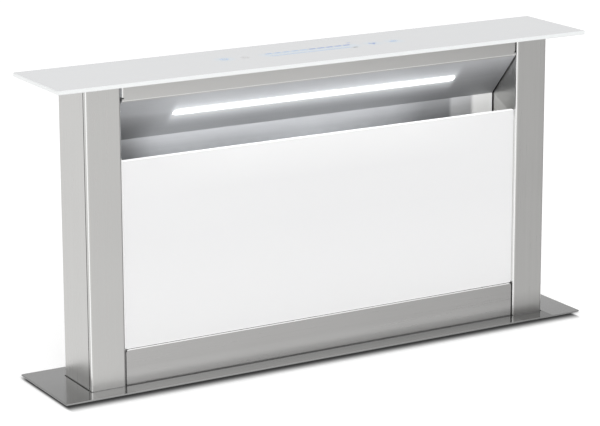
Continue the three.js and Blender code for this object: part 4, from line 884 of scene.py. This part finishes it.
FINISH_OF = {
    "base_plate": "steel_plate", "plate_gasket": "gasket", "guide_frame": "galvanised",
    "wiper_seal": "rubber", "glass_top": "top_glass", "front_bond_strip": "rubber",
    "rear_bond_strip": "rubber", "glass_carrier": "galvanised", "touch_board_tray": "black_plastic",
    "touch_board": "board", "hood_liner": "liner_steel", "led_lens": "lens", "led_board": "board",
    "led_housing": "aluminium", "led_driver": "black_plastic", "supply_cable": "cable",
    "supply_plug": "black_plastic", "cable_grommet": "rubber", "ribbon_cable": "ribbon",
    "rear_panel": "steel_back", "bottom_strip": "steel_strip", "grease_tray": "steel_level",
    "lift_crossbar": "galvanised", "front_glass": "front_glass", "front_panel_pan": "pan",
}
FINISH_OF_PAIR = {                        # one on the left and one on the right
    "guide_shoe": "nylon", "clamp_bracket": "galvanised", "front_clamp_screw": "zinc",
    "rear_clamp_screw": "zinc", "post": "galvanised", "column_cover": "steel_upright",
    "side_panel": "steel_upright", "magnet_catch": "magnet", "strip_bracket": "galvanised",
    "filter_frame": "frame_aluminium", "filter_screen": "aluminium", "filter_mesh": "mesh",
    "filter_latch": "black_plastic", "hinge_pin": "zinc",
}


def dress_nodes():
    finish_of = dict(FINISH_OF)
    for side in ("left", "right"):
        finish_of.update({f"{side}_{name}": finish for name, finish in FINISH_OF_PAIR.items()})
    for name, node in NODES.items():
        node.data.materials.clear()
        node.data.materials.append(FINISHES[finish_of[name]])


def finish_piece(name, shape, finish):
    """Makes a piece of the tower from its mesh code."""
    mesh = bpy.data.meshes.new(name)
    shape.to_mesh(mesh)
    shape.free()
    mesh.materials.append(FINISHES[finish])
    piece = bpy.data.objects.new(name, mesh)
    bpy.context.scene.collection.objects.link(piece)
    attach(piece, "tower")


# ---- Touch signs on the glass top -----------------------------------------------------------

def raise_outline(shape, points, base, height):
    """A flat prism over an outline given anticlockwise in X and Y."""
    low = [shape.verts.new((x, y, base)) for x, y in points]
    high = [shape.verts.new((x, y, base + height)) for x, y in points]
    shape.faces.new(reversed(low))
    shape.faces.new(high)
    for i, corner in enumerate(low):
        after = (i + 1) % len(low)
        shape.faces.new((corner, low[after], high[after], high[i]))


def arc_outline(centre, radius, start, end):
    """Outline of a curved stroke from one angle to another."""
    steps = int(RING_STEPS * (end - start) / math.tau)
    angles = [start + (end - start) * i / steps for i in range(steps + 1)]
    ring = [(radius + SIGN_STROKE / 2, a) for a in angles]
    ring += [(radius - SIGN_STROKE / 2, a) for a in reversed(angles)]
    return [(centre[0] + r * math.cos(a), centre[1] + r * math.sin(a)) for r, a in ring]


def bar_outline(start, end, stroke=SIGN_STROKE):
    """Outline of a straight stroke."""
    a, b = Vector(start), Vector(end)
    along = (b - a).normalized()
    across = Vector((-along.y, along.x)) * stroke / 2
    return [tuple(p) for p in (a - across, b - across, b + across, a + across)]


def level_bar(left, right, y, stroke=SIGN_STROKE):
    return bar_outline((left, y), (right, y), stroke)


def power_sign(x, y, radius):
    """A ring, open at the top, with an upright bar in its gap."""
    gap = 0.6                                 # half the opening, radians
    low, high = y + 0.15 * radius, y + 1.25 * radius
    return [arc_outline((x, y), radius, math.pi / 2 + gap, math.pi * 2.5 - gap),
            bar_outline((x, low), (x, high))]


def clock_sign(x, y, radius):
    """A ring in two halves with one hand."""
    split = 0.02                              # between the halves' ends, radians
    hand = 0.6 * radius
    halves = [arc_outline((x, y), radius, start, start + math.pi - split) for start in (0.0, math.pi)]
    return [*halves, bar_outline((x, y), (x, y + hand))]


def lamp_sign(x, y, radius):
    """A half round bulb with rays over it."""
    middle = Vector((x, y))
    inner, outer = 1.35 * radius, 1.75 * radius
    rays = []
    for k in range(LAMP_RAYS):
        angle = math.pi * (k + 0.5) / LAMP_RAYS
        out = Vector((math.cos(angle), math.sin(angle)))
        rays.append(bar_outline(middle + out * inner, middle + out * outer))
    return [arc_outline((x, y), radius, 0.0, math.pi), level_bar(x - radius, x + radius, y), *rays]


def fan_sign(x, y, radius):
    """Curved blades round the middle."""
    reach, bend = 0.55 * radius, 0.5 * radius
    angles = [math.tau * k / FAN_BLADES for k in range(FAN_BLADES)]
    return [arc_outline((x + reach * math.cos(a), y + reach * math.sin(a)), bend, a, a + math.pi)
            for a in angles]


def slider_steps():
    pitch = (SLIDER_RIGHT - SLIDER_LEFT) / SLIDER_STEPS
    lefts = [SLIDER_LEFT + pitch * i for i in range(SLIDER_STEPS)]
    return [level_bar(left, left + pitch - SLIDER_GAP, SLIDER_Y, SLIDER_STROKE) for left in lefts]


def make_signs():
    steps = slider_steps()
    lit = SLIDER_STEPS // 2
    underline = level_bar(SLIDER_LEFT, UNDERLINE_RIGHT, UNDERLINE_Y)
    tick = level_bar(SLIDER_RIGHT + TICK_X[0], SLIDER_RIGHT + TICK_X[1], TICK_Y)
    level_x, level_y, level_half = LEVEL_SIGN
    level_sign = level_bar(level_x - level_half, level_x + level_half, level_y, LEVEL_STROKE)
    signs = {
        "power_sign": (power_sign(*POWER_SIGN), "pale_blue_sign"),
        "clock_sign": (clock_sign(*CLOCK_SIGN), "soft_grey_sign"),
        "slider_low": (steps[:lit] + [underline], "pale_blue_sign"),
        "slider_high": (steps[lit:] + [tick], "clear_blue_sign"),
        "level_sign": ([level_sign], "olive_grey_sign"),
        "fan_sign": (fan_sign(*FAN_SIGN), "clear_blue_sign"),
        "lamp_sign": (lamp_sign(*LAMP_SIGN), "pale_blue_sign"),
    }
    for name, (outlines, ink) in signs.items():
        shape = bmesh.new()
        for outline in outlines:
            raise_outline(shape, outline, TOP_HIGH.z, SIGN_THICK)
        finish_piece(name, shape, ink)


# ---- Countersunk screws in the back ---------------------------------------------------------

def screw_head(shape, x, y, z):
    """A flush head with a chamfered rim and a round socket, facing backwards."""
    angles = [math.tau * k / SCREW_SIDES for k in range(SCREW_SIDES)]

    def ring(radius, proud):
        return [shape.verts.new((x - radius * math.cos(a), y + proud, z + radius * math.sin(a)))
                for a in angles]

    rings = [ring(SCREW_RADIUS, 0.0), ring(SCREW_RIM, SCREW_PROUD), ring(SOCKET_RIM, SCREW_PROUD),
             ring(SOCKET_RADIUS, SOCKET_FLOOR)]
    for outer, inner in zip(rings, rings[1:]):
        for k in range(SCREW_SIDES):
            after = (k + 1) % SCREW_SIDES
            shape.faces.new((outer[k], outer[after], inner[after], inner[k]))
    shape.faces.new(rings[-1])
    shape.faces.new(reversed(rings[0]))


def make_rear_screws():
    left, right = BACK_LOW.x + SCREW_INSET, BACK_HIGH.x - SCREW_INSET
    pitch = (right - left) / (SCREW_COLUMNS - 1)
    spots = [(left + pitch * k, SCREW_INSET) for k in range(SCREW_COLUMNS)]
    spots += [(x, depth) for depth in LOWER_ROWS for x in (left, right)]
    shape = bmesh.new()
    for x, depth in spots:
        screw_head(shape, x, BACK_HIGH.y, BACK_HIGH.z - depth)
    finish_piece("rear_screws", shape, "zinc")


make_camera()
make_world()
make_floor()
make_softboxes()
dress_nodes()
make_signs()
make_rear_screws()
bpy.context.scene.view_settings.view_transform = "Standard"
